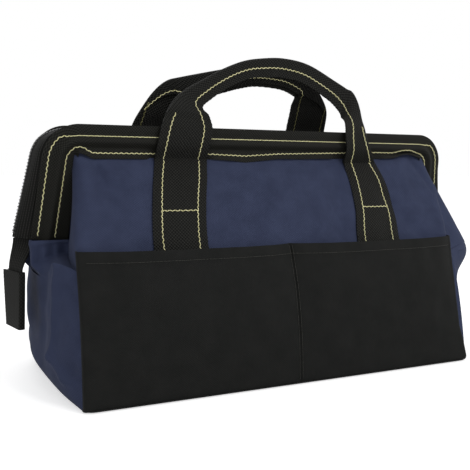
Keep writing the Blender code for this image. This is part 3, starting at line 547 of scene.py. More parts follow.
# Panels: one navy cloth each from the base to the mouth
panel = {
    "foot": 0.0028, "top": 0.2026, "thickness": 0.0015, "ripple": 0.7,
    "rows": 96, "columns": {"return": 22, "corner": 8, "face": 132},
    "cornerRadius": 0.007, "cornerFoot": 0.003,
    # the return along the end: its depth, how far it is tucked in, and the heights between which it runs
    # out to the frame's leg, is tucked in and gets its rounder corner
    "returnDepth": 0.0034, "returnTuck": 0.0062, "legGap": 0.0015, "seamGap": 0.0022,
    "returnOut": (0.104, 0.108), "tuckIn": (0.104, 0.112), "rounder": (0.09, 0.14),
    # heights over which the creases are held at the foot and at the top, and the width held at the corners
    "heldFoot": (0.004, 0.02), "heldTop": (0.192, 0.2015), "heldCorner": (0.0, 0.012),
    # the top edge stands above the lip, from this height up, and is pressed in where a strap lies on it
    "overLip": 0.0018, "liftFrom": 0.165, "liftIn": 0.35, "pressFrom": 0.190, "press": 0.0022,
    # the front panel's right return swells over the frame's leg: heights in metres, how far the corner seam
    # stands out there, and how far the cloth behind it stands out beyond the seam
    "swellHeights": (0.1045, 0.110, 0.118, 0.127, 0.140, 0.1575, 0.178, 0.190, 0.2017),
    "seamOut": (0.0, 0.0, 0.0, 0.001, 0.0045, 0.0065, 0.010, 0.008, 0.003),
    "swellOut": (0.0, 0.034, 0.037, 0.033, 0.026, 0.018, 0.008, 0.004, 0.0), "seamFrom": (0.135, 0.197),
    # creases as (x1, z1, x2, z2, half width, depth), in millimetres
    "frontFolds": (
        (-176, 206, -167, 186, 4, -3.6), (-170, 178, -152, 176, 6, -3.2), (-164, 168, -158, 160, 6, -2.0),
        (-186, 196, -182, 150, 6, 1.6), (-160, 150, -140, 126, 9, -2.2), (-135, 200, -140, 170, 10, 1.6),
        (169, 201, 184, 177, 4, -3.4), (190, 190, 196, 150, 5, -2.4), (125, 168, 159, 128, 8, -2.8),
        (78, 190, 62, 132, 11, -4.2), (-40, 194, 55, 190, 9, -1.4), (0, 180, 20, 130, 22, 1.6),
        (148, 196, 160, 160, 9, 1.8), (-50, 180, -62, 132, 14, -1.8),
    ),
    "rearFolds": (
        (-160, 200, -172, 176, 4, -1.8), (150, 190, 128, 150, 7, -1.6), (60, 188, 40, 135, 10, -1.8),
        (-60, 190, -30, 140, 9, -1.4), (176, 198, 186, 170, 4, -1.8),
    ),
}

# the front band's lower lip, whose line the panel's top edge follows: places along X and heights from the
# rod, the rear's height, and where the straps lie on it, front and rear, with their half width
lip = {
    "at": (-0.190, -0.186, -0.180, -0.174, -0.160, -0.060, -0.025, 0.010, 0.130, 0.150, 0.162, 0.172,
           0.184, 0.192),
    "to": (-0.0116, -0.0099, -0.0115, -0.0150, -0.0146, -0.0140, -0.0166, -0.0128, -0.0112, -0.0104, -0.0066,
           -0.0062, -0.0094, -0.0112),
    "rear": -0.0140, "rodTop": 0.217, "strapPlaces": {-1: (-0.0925, 0.1040), 1: (-0.100, 0.082)},
    "strapEdge": (0.0272, 0.0335),
}


def lipHeight(side, x):
    # height of the lip from the rod, straight between its places
    return np.interp(x, lip["at"], lip["to"]) if side < 0 else lip["rear"] + 0 * x


def lipFree(side, x):
    # 0 where a strap lies on the lip, 1 away from the straps
    free = 1 + 0 * x
    for place in lip["strapPlaces"][side]:
        free = free * smoothStep(np.abs(x - place), *lip["strapEdge"])
    return free


def panelRelief(side, x, z):
    # creases and slack of a panel's cloth in metres, fading out at the sewn edges
    folds = panel["frontFolds"] if side < 0 else panel["rearFolds"]
    held = smoothStep(z, *panel["heldFoot"]) * (1 - smoothStep(z, *panel["heldTop"]))
    held = held * smoothStep(cornerX(z) - np.abs(x), *panel["heldCorner"])
    soft = foldRelief(x * 1000, z * 1000, folds) + ripple(x * 1000, z * 1000, panel["ripple"], 5 + side)
    return soft * held / 1000


def cornerBend(t, back, front, radius, cx):
    # the rounded corner in plan, a quadratic Bezier from the end's return to the face, as x and depth
    x = (1 - t) ** 2 * -cx + 2 * t * (1 - t) * -cx + t**2 * (radius - cx)
    depth = (1 - t) ** 2 * (back - radius) + 2 * t * (1 - t) * back + t**2 * front
    return x, depth


def wholePlan(back, bend, facing, sign):
    # the left return, its corner and the face, and then the corner and the return again, mirrored by the sign
    return np.concatenate([back, bend, facing, sign * bend[:, ::-1], sign * back[:, ::-1]], 1)


def panelGrid(side):
    # plan section of each row: a return along the end, a rounded corner, the bowed front, and back
    z = np.linspace(panel["foot"], panel["top"], panel["rows"])[:, None]
    cx, deep = cornerX(z), panelDepth(1.0, z)
    depth = panel["returnDepth"]
    legFace = np.minimum(frameLean(z) + panel["legGap"], deep - panel["seamGap"])
    start = (deep - depth) + (legFace - deep + depth) * smoothStep(z, *panel["returnOut"])
    radius = panel["cornerRadius"] * smoothStep(z, *panel["rounder"]) + panel["cornerFoot"]
    radius = np.minimum(radius, (deep - start) * 0.95)
    t = np.linspace(0, 1, panel["columns"]["return"])[None]
    tuck = panel["returnTuck"] * smoothStep(z, *panel["tuckIn"]) * (1 - t) ** 2
    backX, backY = tuck - cx, start + (deep - radius - start) * t
    faceX = (cx - radius) * np.linspace(-1, 1, panel["columns"]["face"])[None]
    faceY = panelDepth(faceX / cx, z)
    bend = np.linspace(0, 1, panel["columns"]["corner"])[None, 1:-1]
    bendX, bendY = cornerBend(bend, deep, faceY[:, :1], radius, cx)
    x, y = wholePlan(backX, bendX, faceX, -1), wholePlan(backY, bendY, faceY, 1)
    z = z + 0 * x
    y = y + np.where(np.abs(x) < cx - radius * 0.5, panelRelief(side, x, z), 0)
    if side < 0:
        seam, swell = (np.interp(z, panel["swellHeights"], panel[key]) for key in ("seamOut", "swellOut"))
        # share of the way from the leg to the corner, over the right return
        reach = np.concatenate([np.ones(x.shape[1] - t.size), t[0, ::-1]])[None]
        x = x + seam * smoothStep(x, *panel["seamFrom"]) * reach**0.6 + swell * np.sin(math.pi * reach**2.4)
    edge = lip["rodTop"] + lipHeight(side, x) + panel["overLip"]
    lift = (edge - panel["top"]) * smoothStep(z, panel["liftFrom"], panel["top"])
    # under a strap the edge is pressed against the lip
    pressed = (1 - lipFree(side, x)) * smoothStep(z, panel["pressFrom"], panel["top"])
    return np.stack([x, side * (y - panel["liftIn"] * lift - panel["press"] * pressed), z + lift], 2)


for side, face in ((-1, "front"), (1, "rear")):
    grid = panelGrid(side)
    item = shellMesh(face + "_panel_cloth", grid, panel["thickness"], (0, side, 0), navyCloth)
    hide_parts(face + "_panel_lower", face + "_panel_upper")
    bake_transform(item)

# Pockets: black cloth wrapped round the body's corners, a hem along the top and a stitched divider
pocket = {
    "foot": 0.0012, "top": 0.127, "thickness": 0.0012, "ripple": 0.5,
    "rows": 64, "columns": {"corner": 7, "face": 161},
    "hem": 0.011, "hemStep": 0.0005, "hemSlope": 0.0006, "cornerRadius": 0.0036,
    "cornerGap": 0.0006, "returnDepth": 0.0058, "wall": 0.0016,
    # depth and width of the groove at the divider, depth and height of the roll under the foot
    "groove": (0.0009, 0.0011), "roll": (0.0035, 0.0008, 0.006),
    # straight rows of stitches: place and ends of the hem's row, and ends and place of the divider's two
    "seam": {"pitch": 0.0032, "thread": 0.00028, "slant": 0.0}, "hemRow": 0.002, "hemEnd": 0.192,
    "dividerEnds": (0.005, 0.1255), "dividerRow": 0.0016,
    "frontFolds": (
        (-150, 118, -120, 60, 12, 1.0), (-60, 110, -30, 60, 12, 0.8), (60, 112, 30, 70, 12, 0.8),
        (150, 110, 165, 40, 12, 0.8), (-185, 30, -120, 20, 9, -0.8), (120, 14, 185, 28, 9, -0.8),
    ),
    "rearFolds": (
        (-140, 100, -110, 50, 14, 0.9), (70, 110, 40, 50, 13, 0.8), (150, 100, 160, 40, 12, 0.8),
    ),
    # how far the front's right corner seam is drawn in, at heights
    "seamAt": (0.005, 0.022, 0.037, 0.066, 0.100, 0.130),
    "seamIn": (0.0, 0.0030, 0.0068, 0.0074, 0.0052, 0.0008), "drawnFrom": (0.110, 0.197),
    # heights and widths over which the folds are held, at the foot, the corners and the divider
    "heldFoot": (0.006, 0.03), "heldCorner": (0.0, 0.02), "heldDivider": (0.0, 0.02), "loosest": 0.65,
}


def drawnIn(side, x, z):
    # x moved towards the middle near the front's right corner seam
    pull = np.interp(z, pocket["seamAt"], pocket["seamIn"]) if side < 0 else 0 * z
    return x - pull * smoothStep(x, *pocket["drawnFrom"])


def pocketDepth(side, x, z):
    # outer face of the pocket cloth: the panel, the gap, its own wall, soft folds, the raised hem, the
    # divider's groove, and the roll under the foot
    share = x / cornerX(z)
    folds = pocket["frontFolds"] if side < 0 else pocket["rearFolds"]
    soft = foldRelief(x * 1000, z * 1000, folds) + ripple(x * 1000, z * 1000, pocket["ripple"], 11 + side)
    held = smoothStep(z, *pocket["heldFoot"]) * smoothStep(cornerX(z) - np.abs(x), *pocket["heldCorner"])
    loose = pocket["loosest"]
    held = held * ((1 - loose) + loose * smoothStep(np.abs(x), *pocket["heldDivider"]))
    hemFoot = pocket["top"] - pocket["hem"]
    hem = pocket["hemStep"] * smoothStep(z, hemFoot - pocket["hemSlope"], hemFoot + pocket["hemSlope"])
    depth, width = pocket["groove"]
    groove = depth * np.exp(-((x / width) ** 2))
    depth, low, height = pocket["roll"]
    roll = depth * (1 - np.sqrt(1 - (1 - np.minimum(1, (z - low) / height)) ** 2))
    flat = panelDepth(share, z) + pocketOffset(share, z) + pocket["wall"]
    return flat + soft * held / 1000 + hem - groove - roll


def pocketGrid(side):
    # plan section of each row: a short return, a rounded corner, the face, and back; the rows lie closer at
    # the foot
    rise = np.linspace(0, 1, pocket["rows"]) ** 1.15
    z = (pocket["foot"] + (pocket["top"] - pocket["foot"]) * rise)[:, None]
    cx = cornerX(z) + pocket["cornerGap"]
    radius = pocket["cornerRadius"] + 0 * z
    faceX = (cx - radius) * np.linspace(-1, 1, pocket["columns"]["face"])[None]
    faceY = pocketDepth(side, faceX, z)
    deep = faceY[:, :1]
    bend = np.linspace(0, 1, pocket["columns"]["corner"])[None, 1:-1]
    bendX, bendY = cornerBend(bend, deep, deep, radius, cx)
    backX = np.concatenate([-cx, -cx], 1)
    backY = np.concatenate([deep - pocket["returnDepth"], deep - radius], 1)
    x, y = wholePlan(backX, bendX, faceX, -1), wholePlan(backY, bendY, faceY, 1)
    return np.stack([drawnIn(side, x, z), side * y, z + 0 * x], 2)


def sewnLine(depthOf, side, x, z):
    # points and outward normals of a line sewn on a surface given as depth from x and z, whose slopes are
    # taken over a small step
    step = 0.0004
    y = depthOf(side, x, z)
    slopeX = (depthOf(side, x + step, z) - y) / step
    slopeZ = (depthOf(side, x, z + step) - y) / step
    return np.stack([x, side * y, z], 1), np.stack([-slopeX, side * np.ones_like(x), -slopeZ], 1)


def pocketRow(side, x, z):
    # a straight row of stitches on the pocket, drawn in with its cloth
    points, normal = sewnLine(pocketDepth, side, x, z)
    points[:, 0] = drawnIn(side, x, z)
    return stitchRow(points, normal, **pocket["seam"])


for side, face in ((-1, "front"), (1, "rear")):
    grid = pocketGrid(side)
    item = shellMesh(face + "_pocket_cloth", grid, pocket["thickness"], (0, side, 0), pocketCloth)
    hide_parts(face + "_pocket_panel")
    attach(item, "bag_body")
    x = np.linspace(-pocket["hemEnd"], pocket["hemEnd"], 400)
    z = np.linspace(*pocket["dividerEnds"], 140)
    rows = [pocketRow(side, x, x * 0 + pocket["top"] - pocket["hem"] + pocket["hemRow"])]
    rows += [pocketRow(side, z * 0 + place * pocket["dividerRow"], z) for place in (-1, 1)]
    sewn = ropesMesh(face + "_pocket_stitching", rows, blackThread)
    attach(sewn, "bag_body")
print("panels and pockets made")

# End walls: navy cloth between the corner seams, and two flaps of loose cloth above each
endWall = {
    "thickness": 0.0015, "rows": 72, "columns": 90, "ripple": 0.8, "foot": 0.0009, "seamInset": 0.0036,
    # the upper edge: its height in the middle, and the height, place and width of its peaks as shares
    "top": 0.101, "peak": 0.0155, "peakAt": 0.80, "peakWidth": 0.30,
    # the foot's swell at the left and at the right end, its height and half width, and the roll under it
    "footSwell": {-1: 0.0090, 1: 0.0008}, "swellAt": 0.016, "swellWidth": 0.029,
    "rollFoot": 0.0008, "roll": 0.010,
    # half width, height and half height in millimetres of the stretch that stays flat behind the pivot tab
    "flat": (16, 108, 26), "flatShare": 0.85,
    # share of the half width and heights over which the folds are held, at the seams and at the foot
    "heldSeam": (0.0, 0.12), "heldFoot": (0.004, 0.02),
    # creases as (y1, z1, y2, z2, half width, depth), in millimetres
    "leftFolds": (
        (-50, 116, -50, 38, 4, 3.0), (-50, 38, -69, 24, 4, 2.6), (-69, 24, -93, 19, 5, 2.0),
        (-64, 95, -110, 97, 5, -3.6), (-70, 30, -112, 43, 5, -3.4),
        (-30, 100, -26, 50, 10, -2.6), (-44, 117, -58, 115, 5, 2.2), (35, 100, 30, 55, 12, 2.2),
        (20, 30, -10, 22, 9, 1.6),
    ),
    "rightFolds": (
        (-50, 113, -47, 107, 12, 6.0), (-46, 92, -42, 30, 8, 2.2), (-75, 60, -60, 25, 8, -2.0),
        (-10, 95, 0, 40, 12, -2.2), (40, 105, 45, 40, 10, 1.8), (70, 50, 60, 20, 8, -1.8),
    ),
}


def wallTop(share):
    # the wall's upper edge: low in the middle, with a bell-shaped peak towards each corner
    off = (np.abs(share) - endWall["peakAt"]) / endWall["peakWidth"]
    return endWall["top"] + endWall["peak"] * np.exp(-(off**2))


def wallRelief(hand, share, z):
    # creases and slack of an end wall's cloth in metres, fading out at the seams, and the swell of its foot
    seam = panelDepth(1, z) - endWall["seamInset"]
    folds = endWall["leftFolds"] if hand < 0 else endWall["rightFolds"]
    held = smoothStep(1 - np.abs(share), *endWall["heldSeam"]) * smoothStep(z, *endWall["heldFoot"])
    y = share * seam * 1000
    # near the frame's feet the wall stays flat, for the pivot tab sits right behind it
    width, height, rise = endWall["flat"]
    clear = 1 - endWall["flatShare"] * np.exp(-((y / width) ** 2) - ((z * 1000 - height) / rise) ** 2)
    soft = foldRelief(y, z * 1000, folds) + ripple(y, z * 1000, endWall["ripple"], 21 + hand)
    soft = soft * held * clear / 1000
    # the foot swells out, bell-shaped up the wall, and rolls under in a quarter ellipse
    under = np.sqrt(1 - (1 - np.clip((z - endWall["rollFoot"]) / endWall["roll"], 0, 1)) ** 2)
    bell = np.exp(-(((z - endWall["swellAt"]) / endWall["swellWidth"]) ** 2))
    return soft + endWall["footSwell"][hand] * bell * under * (1 - share**6)


# the loose cloth above a wall: the plan of a flap's upper edge as points (x, y, 0), down the outside of the
# band's foot, round it and inward
flap = {
    "top": 0.1318, "thickness": 0.0014, "columns": 44, "rows": 20, "edge": (
        (0.2215, -0.0015, 0), (0.2215, 0.0078, 0), (0.2255, 0.0098, 0), (0.2258, 0.0145, 0),
        (0.2240, 0.0168, 0), (0.1915, 0.0178, 0)),
    # the foot lies this far under the wall's top edge and this far inside it. Where the two flaps meet, the
    # rear one lies further in, at its foot and at its top.
    "under": 0.004, "inside": 0.0022, "rearFoot": 0.0012, "rearTop": 0.0018, "meet": 0.12,
    # share of the height over which it sweeps out; height, place and width of the hem; depth of the slack
    "sweep": 0.42, "hem": (0.0011, 0.90, 0.07), "slack": 0.0009, "slackTurn": 31,
}

for hand, end in ((-1, "left"), (1, "right")):
    share = np.linspace(-1, 1, endWall["columns"])[None]
    rise = np.linspace(0, 1, endWall["rows"])[:, None] ** 1.25
    z = endWall["foot"] + (wallTop(share) - endWall["foot"]) * rise
    grid = gussetPoint(hand, share, z)
    grid[..., 0] += hand * wallRelief(hand, share, z)
    item = shellMesh(end + "_end_wall_cloth", grid, endWall["thickness"], (hand, 0, 0), navyCloth)
    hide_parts(end + "_gusset")
    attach(item, "bag_body")
    # two flaps above, one for each frame half. The foot of each runs inside the wall's top edge, its top
    # follows the band's foot in plan, and it hangs straight before it sweeps out to the wall.
    for side, face in ((-1, "front"), (1, "rear")):
        share = side * np.linspace(-0.04, 0.97, flap["columns"])[None]
        foot = gussetPoint(hand, share, wallTop(share) - flap["under"])
        meet = (side > 0) * np.exp(-((share / flap["meet"]) ** 2))
        footX = np.abs(foot[..., 0]) - (flap["inside"] + flap["rearFoot"] * meet)
        edge = np.array(flap["edge"])
        edge = resample(edge, np.linspace(0, lengthsAlong(edge)[-1], flap["columns"]))
        topX = edge[None, :, 0] - flap["rearTop"] * meet
        topY = edge[None, :, 1]
        rise = np.linspace(0, 1, flap["rows"])[:, None]
        z = foot[..., 2] + (flap["top"] - foot[..., 2]) * rise
        hung = smoothStep(rise, 0.0, flap["sweep"])
        height, place, width = flap["hem"]
        hem = height * np.exp(-(((rise - place) / width) ** 2))
        hem = hem + flap["slack"] * np.sin(share * flap["slackTurn"]) * np.sin(np.pi * rise)
        x = footX + (topX + hem - footX) * hung
        y = np.abs(foot[..., 1]) * np.sign(share * side) * (1 - hung) + (topY + hem) * hung
        grid = np.stack([hand * x, side * y, z + 0 * x], 2)
        item = shellMesh(f"{end}_{face}_wall_flap", grid, flap["thickness"], (hand, 0, 0), navyCloth)
        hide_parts(end + "_gusset_fold")
        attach(item, "bag_body")
        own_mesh(item)

# Base: the black cloth under the bag, one flat slab with a rolled edge
base = {
    "halfLength": 0.1998, "halfWidth": 0.0964, "corner": 0.008,
    # section as (inset from the edge, height), from below round the edge to the top
    "profile": (
        (0.09, 0.0003), (0.008, 0.0), (0.0025, 0.0002), (0.0, 0.0012), (0.0003, 0.0022), (0.003, 0.0026),
        (0.09, 0.0026),
    ),
}
turn = np.concatenate([np.linspace(0, math.pi / 2, 8) + k * math.pi / 2 for k in range(4)])
centre = np.repeat(np.array([(1, 1), (-1, 1), (-1, -1), (1, -1)]), 8, axis=0)
profile = np.array(base["profile"])
inset = profile[:, :1]
across = (base["halfLength"] - base["corner"]) * centre[:, 0] + base["corner"] * np.cos(turn)
deepways = (base["halfWidth"] - base["corner"]) * centre[:, 1] + base["corner"] * np.sin(turn)
rings = np.stack([across * (1 - inset / base["halfLength"]), deepways * (1 - inset / base["halfWidth"]),
                  0 * across + profile[:, 1:]], 2)
# the end caps' quads run from side to side, so the section starts in the middle of a corner
rings = np.roll(rings, 4, axis=1)
item = sweepMesh("base_cloth", rings, pocketCloth)
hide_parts("base_panel")
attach(item, "bag_body")
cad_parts["base_board"].data.materials.clear()
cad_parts["base_board"].data.materials.append(fibreBoard)
print("end walls and base made")

# Straps: webbing sewn to the panels, from inside the pockets to the mouth
straps = {
    "thickness": 0.0019, "lift": 0.0003, "steps": 16, "columns": 15,
    # the rows of stitches: how far in from the edges, in millimetres, and their heights
    "rowInset": 8.5, "rowFoot": 0.112, "rowTop": 0.2017, "crossBar": 0.158,
    # the woven edge's scallops, how far the edges lie down on the panel, and the end's press under the band
    "scallop": 0.0002, "pick": 0.0032, "edgeRoll": 0.0005, "endPress": 0.0004, "endAt": (0.2012, 0.2025),
    # each strap's edges as rows of (height, left edge, right edge), in millimetres
    "front_left": (
        (84, -130, -81.5), (128, -131.5, -81.5), (150, -129.5, -79), (170, -125.5, -74.5),
        (186, -121.5, -69.5), (201.7, -117, -65.8), (204.6, -116.6, -65.5),
    ),
    "front_right": (
        (84, 78.5, 127.5), (128, 78.5, 129.5), (156, 85, 133), (183, 88.5, 131.5), (201.7, 87.2, 126.4),
        (204.6, 87.0, 126.1),
    ),
    "rear_left": (
        (84, -127.5, -78.5), (128, -127.5, -78.5), (165, -126, -77), (201.7, -124.5, -75.7),
        (204.6, -124.3, -75.7),
    ),
    "rear_right": (
        (84, 78.5, 127.5), (128, 78.5, 127.5), (165, 67.5, 116.5), (201.7, 57.2, 106), (204.6, 56.8, 105.6),
    ),
}


def strapDepth(side, x, z):
    # the webbing lies on the panel and follows its folds
    return panelDepth(x / cornerX(z), z) + panelRelief(side, x, z) + straps["lift"] + straps["thickness"]


for side, face in ((-1, "front"), (1, "rear")):
    for end in ("left", "right"):
        name = face + "_" + end
        z, low, high = (catmullRom(straps[name], straps["steps"]) / 1000).T
        share = np.linspace(0, 1, straps["columns"])[None]
        x = low[:, None] + (high - low)[:, None] * share
        scallop = straps["scallop"] * np.sin(z * math.tau / straps["pick"])[:, None]
        x = x + scallop * (np.abs(share - 0.5) > 0.49) * np.sign(share - 0.5)
        y = strapDepth(side, x, z[:, None] + 0 * x)
        rolled = straps["edgeRoll"] * np.maximum(0, np.abs(2 * share - 1) - 0.9) * 10
        y = y - rolled - straps["endPress"] * smoothStep(z, *straps["endAt"])[:, None]
        grid = np.stack([x, side * y, z[:, None] + 0 * x], 2)
        item = shellMesh(name + "_strap_webbing", grid, straps["thickness"], (0, side, 0), strapWebbing)
        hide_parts(name + "_strap")
        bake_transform(item)
        # a row of stitches up each side and one across
        fine = np.linspace(straps["rowFoot"], straps["rowTop"], 160)
        inset = straps["rowInset"] / 1000
        left, right = np.interp(fine, z, low) + inset, np.interp(fine, z, high) - inset * 0.98
        barHeight = straps["crossBar"]
        bar = np.linspace(np.interp(barHeight, fine, left), np.interp(barHeight, fine, right), 40)
        lines = ((left, fine), (right, fine), (bar, bar * 0 + barHeight))
        rows = [stitchRow(*sewnLine(strapDepth, side, *line)) for line in lines]
        sewn = ropesMesh(name + "_strap_stitching", rows, paleThread)
        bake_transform(sewn)
print("straps made")

# Handles: the same webbing running on, folded double and sewn where it is gripped
handle = {
    # where it stands: height and depth of its feet, its rise above them and their spacing
    "hinge": 0.2033, "depth": 0.0286, "rise": 0.101, "spacing": 0.206,
    # the webbing: its width and thickness, the thinnest fold behind it, and the slit between
    "width": 0.049, "leaf": 0.002, "lip": 0.0004, "slit": 0.0005, "edgeWave": 0.0002, "edgeTurn": 420,
    # a fold is at least this wide, and has its full thickness where it is wider by the second length
    "leastFold": 0.003, "doubling": 0.006, "steps": 12,
    # rows of stitches: distance from the open edge of the near and of the far one
    "rowInset": 0.0085, "farRow": 0.0405,
    # the row over the rear's left shoulder: distances from the folded edge at its start and at its end
    "slant": (0.003, 0.019),
    # the second row goes over the fold where the leaf is narrower than this; the grip is what is narrower
    # than these shares of the width, and a leg what is wider
    "foldAt": 0.0415, "grip": {"front": 0.5, "rear": 0.64}, "leg": 0.5, "broadLeg": 0.86,
    # places of the right leg, of its low part and of the left shoulder, as shares like the stations'
    "rightFrom": 0.3, "lowTo": 0.35, "shoulder": (-0.60, 0.40),
    # centre along X as a share of half the spacing, height as a share of the rise, turn of the webbing in
    # degrees, width as a share of the strap's, depth as a share of the depth at the foot
    "front": (
        (-0.888, -0.012, 0, 1.04, 0.79), (-0.878, 0.125, 0, 1.04, 1.00), (-0.840, 0.290, -1, 1.01, 0.95),
        (-0.812, 0.430, -8, 0.80, 0.76), (-0.753, 0.540, -32, 0.50, 0.52), (-0.593, 0.643, -58, 0.40, 0.36),
        (-0.389, 0.760, -64, 0.37, 0.24), (-0.179, 0.850, -72, 0.36, 0.18), (0.010, 0.887, -84, 0.37, 0.15),
        (0.240, 0.900, -94, 0.39, 0.13), (0.496, 0.856, -109, 0.41, 0.14), (0.782, 0.712, -119, 0.43, 0.22),
        (0.892, 0.630, -119, 0.49, 0.32), (0.944, 0.570, -123, 0.57, 0.42), (0.960, 0.425, -172, 0.46, 0.70),
        (0.960, 0.335, -182, 0.49, 0.87), (0.957, 0.240, -183, 0.55, 0.98), (0.985, 0.105, -180, 0.64, 1.00),
        (1.035, -0.012, -180, 0.80, 0.79),
    ),
    "rear": (
        (-0.971, -0.012, 0, 1.00, 0.79), (-0.966, 0.125, 0, 1.00, 1.00), (-0.935, 0.290, -3, 1.00, 0.94),
        (-0.872, 0.435, -16, 0.90, 0.76), (-0.790, 0.590, -44, 0.70, 0.52), (-0.690, 0.655, -66, 0.53, 0.38),
        (-0.344, 0.750, -73, 0.46, 0.20), (-0.187, 0.788, -79, 0.43, 0.15), (0.007, 0.816, -87, 0.41, 0.10),
        (0.296, 0.800, -101, 0.41, 0.09), (0.470, 0.745, -113, 0.42, 0.12), (0.562, 0.705, -145, 0.48, 0.20),
        (0.634, 0.625, -168, 0.70, 0.34), (0.690, 0.510, -181, 0.90, 0.56), (0.713, 0.290, -181, 0.96, 0.93),
        (0.725, 0.125, -180, 1.00, 1.00), (0.791, -0.012, -180, 1.00, 0.79),
    ),
}


def handleSizes(rows):
    # width of the outer leaf, width of the part folded behind it, the slit between them and the whole
    # thickness, at each station: what the leaf lacks of the webbing's width is folded, within a least width
    # of fold and of leaf
    width = handle["width"] * rows[:, 3]
    least = handle["leastFold"]
    folded = np.minimum(np.maximum(handle["width"] - width, least), width - least)
    doubled = np.minimum(1, (folded - least) / handle["doubling"])
    foldThick = handle["lip"] + (handle["leaf"] - handle["lip"]) * doubled
    slit = handle["slit"] * (0.4 + 0.6 * doubled)
    return width, folded, slit, handle["leaf"] + slit + foldThick


def handlePoint(side, rows, reach, deep):
    # a point of the turned section: reach goes from the folded edge to the open one, deep from the outer
    # face inward
    width, _, _, total = (value[:, None] for value in handleSizes(rows))
    turn = np.radians(rows[:, 2:3])
    middle = rows[:, :1] * handle["spacing"] / 2
    height = handle["hinge"] + handle["rise"] * rows[:, 1:2]
    x = middle + np.cos(turn) * (reach - width / 2)
    z = height + np.sin(turn) * (reach - width / 2)
    y = side * (handle["depth"] * rows[:, 4:5] + total - deep)
    return np.stack([x, y + 0 * x, z + 0 * x], 2)


def handleRow(side, rows, inset, inner=False):
    # a row of stitches at a distance from the open edge, on the outer or else on the innermost face
    width, folded, _, total = handleSizes(rows)
    reach = width - inset
    deep = np.where(reach < folded, total, handle["leaf"]) if inner else 0 * width
    path = handlePoint(side, rows, reach[:, None], deep[:, None])[:, 0]
    normal = np.tile((0.0, -side if inner else side, 0.0), (len(path), 1))
    return stitchRow(path, normal)


for side, face in ((-1, "front"), (1, "rear")):
    rows = catmullRom(handle[face], handle["steps"])
    width, folded, slit, total = (value[:, None] for value in handleSizes(rows))
    leaf, bend = handle["leaf"], total / 2
    # the section's outline: along the outer face, round the fold, along the folded part and back between
    # the leaves
    t20, t10, t6 = (np.linspace(0, 1, count)[None] for count in (20, 10, 6))
    arc = np.linspace(0, math.pi, 9)[None, 1:-1]
    reach = np.concatenate([
        width + (bend - width) * t20, bend - bend * np.sin(arc), bend + (folded - bend) * t10,
        folded + (bend - folded) * t6, bend * 0.85, bend + (width - bend) * t10], 1)
    deep = np.concatenate([
        0 * width + 0 * t20, bend - bend * np.cos(arc), total + 0 * t10,
        leaf + slit + 0 * t6, leaf + slit / 2, leaf + 0 * t10 * width], 1)
    along = np.linspace(0, 1, len(rows))[:, None]
    onEdge = np.abs(reach - width) < 1e-6
    reach = reach + handle["edgeWave"] * np.sin(along * handle["edgeTurn"]) * onEdge
    rings = handlePoint(side, rows, reach, deep)
    item = sweepMesh(face + "_handle_webbing", rings, strapWebbing, sharp=50)
    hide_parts(face + "_handle")
    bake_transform(item)
    inset = handle["rowInset"]
    bright = [handleRow(side, rows, inset)]
    # the second row shows on each leg until it goes over the fold
    turnLeft = np.argmax(rows[:, 3] * handle["width"] < handle["foldAt"])
    bright.append(handleRow(side, rows[:turnLeft], handle["width"] * rows[:turnLeft, 3] - inset))
    right = rows[rows[:, 0] > handle["rightFrom"]]
    if face == "front":
        leg = right[right[:, 1] < handle["lowTo"]]
        bright.append(handleRow(side, leg, (handle["width"] * leg[:, 3]) * (1 - inset / handle["width"])))
    else:
        leg = right[right[:, 3] * handle["width"] > handle["foldAt"]]
        bright.append(handleRow(side, leg, handle["farRow"]))
    grip = rows[rows[:, 3] < handle["grip"][face]]
    if face == "rear":
        bright.append(handleRow(side, grip, inset, True))
        # a row slants over the left shoulder, where the fold opens
        inward, up = handle["shoulder"]
        shoulder = rows[(rows[:, 0] < inward) & (rows[:, 1] > up)]
        slant = handleSizes(shoulder)[0] - np.linspace(*handle["slant"], len(shoulder))
        bright.append(handleRow(side, shoulder, slant, True))
    sewn = ropesMesh(face + "_handle_stitching", bright, paleThread)
    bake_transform(sewn)
    # the rows on the inner faces are drawn in the pale thread with painted shade, darker for the shadow there
    paintedShadeRows = [] if face == "rear" else [handleRow(side, grip, inset, True)]
    legs = [half[half[:, 3] >= handle["leg"]] for half in (rows[rows[:, 0] < 0], right)]
    paintedShadeRows += [handleRow(side, leg, inset, True) for leg in legs]
    broad = [leg[leg[:, 3] > handle["broadLeg"]] for leg in legs]
    paintedShadeRows += [handleRow(side, leg, handle["farRow"], True) for leg in broad if len(leg) > 3]
    sewn = ropesMesh(face + "_handle_inner_stitching", paintedShadeRows, paintedShadeThread)
    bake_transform(sewn)
print("handles made")

# Mouth frame: a webbing folded round each steel rod, with the panel's edge between its two leaves
band = {
    # foot and top of the rod's centre line as (x, z, x, z), and the radius of its corners
    "arch": (0.2095, 0.134, 0.1995, 0.217, 0.017), "foot": 0.0034,
    "width": 0.030, "edge": 0.0009, "bulge": 0.0034, "channel": 0.0064, "leaf": 0.0008,
    "flare": 0.0042, "flareWave": 0.0005, "legSpread": 0.0022, "topEdge": 0.0105,
    # how far the lower lip, the leaves and the upper edge waver, and where each edge begins across the band
    "lipWave": 0.0003, "leafWave": 0.0001, "upperWave": 0.0002, "lowerFrom": (0.0040, 0.015),
    "upperFrom": (0.009, 0.015),
    # the waves along the band as (turn over its length in radians, start, share), and the upper edge's turn
    "waves": ((88, 0.0, 0.5), (143, 1.3, 0.3), (31, 0.4, 0.5)), "upperTurn": 117,
    # across places of the two rows of stitches on the legs and along the top, there at places along X, and
    # the rear's inner row along the top
    "outerRow": (0.0095, 0.0050), "innerLeg": -0.0055, "rearRow": -0.0080,
    "rowAt": (-0.182, -0.174, -0.160, -0.060, -0.025, 0.010, 0.130, 0.150, 0.162, 0.172, 0.184, 0.192),
    "rowTo": (-0.0046, -0.0096, -0.0097, -0.0092, -0.0104, -0.0080, -0.0046, -0.0048, -0.0018, -0.0016,
              -0.0046, -0.0052),
    "topStitch": {"pitch": 0.0026, "thread": 0.00036, "slant": 0.0001},
}


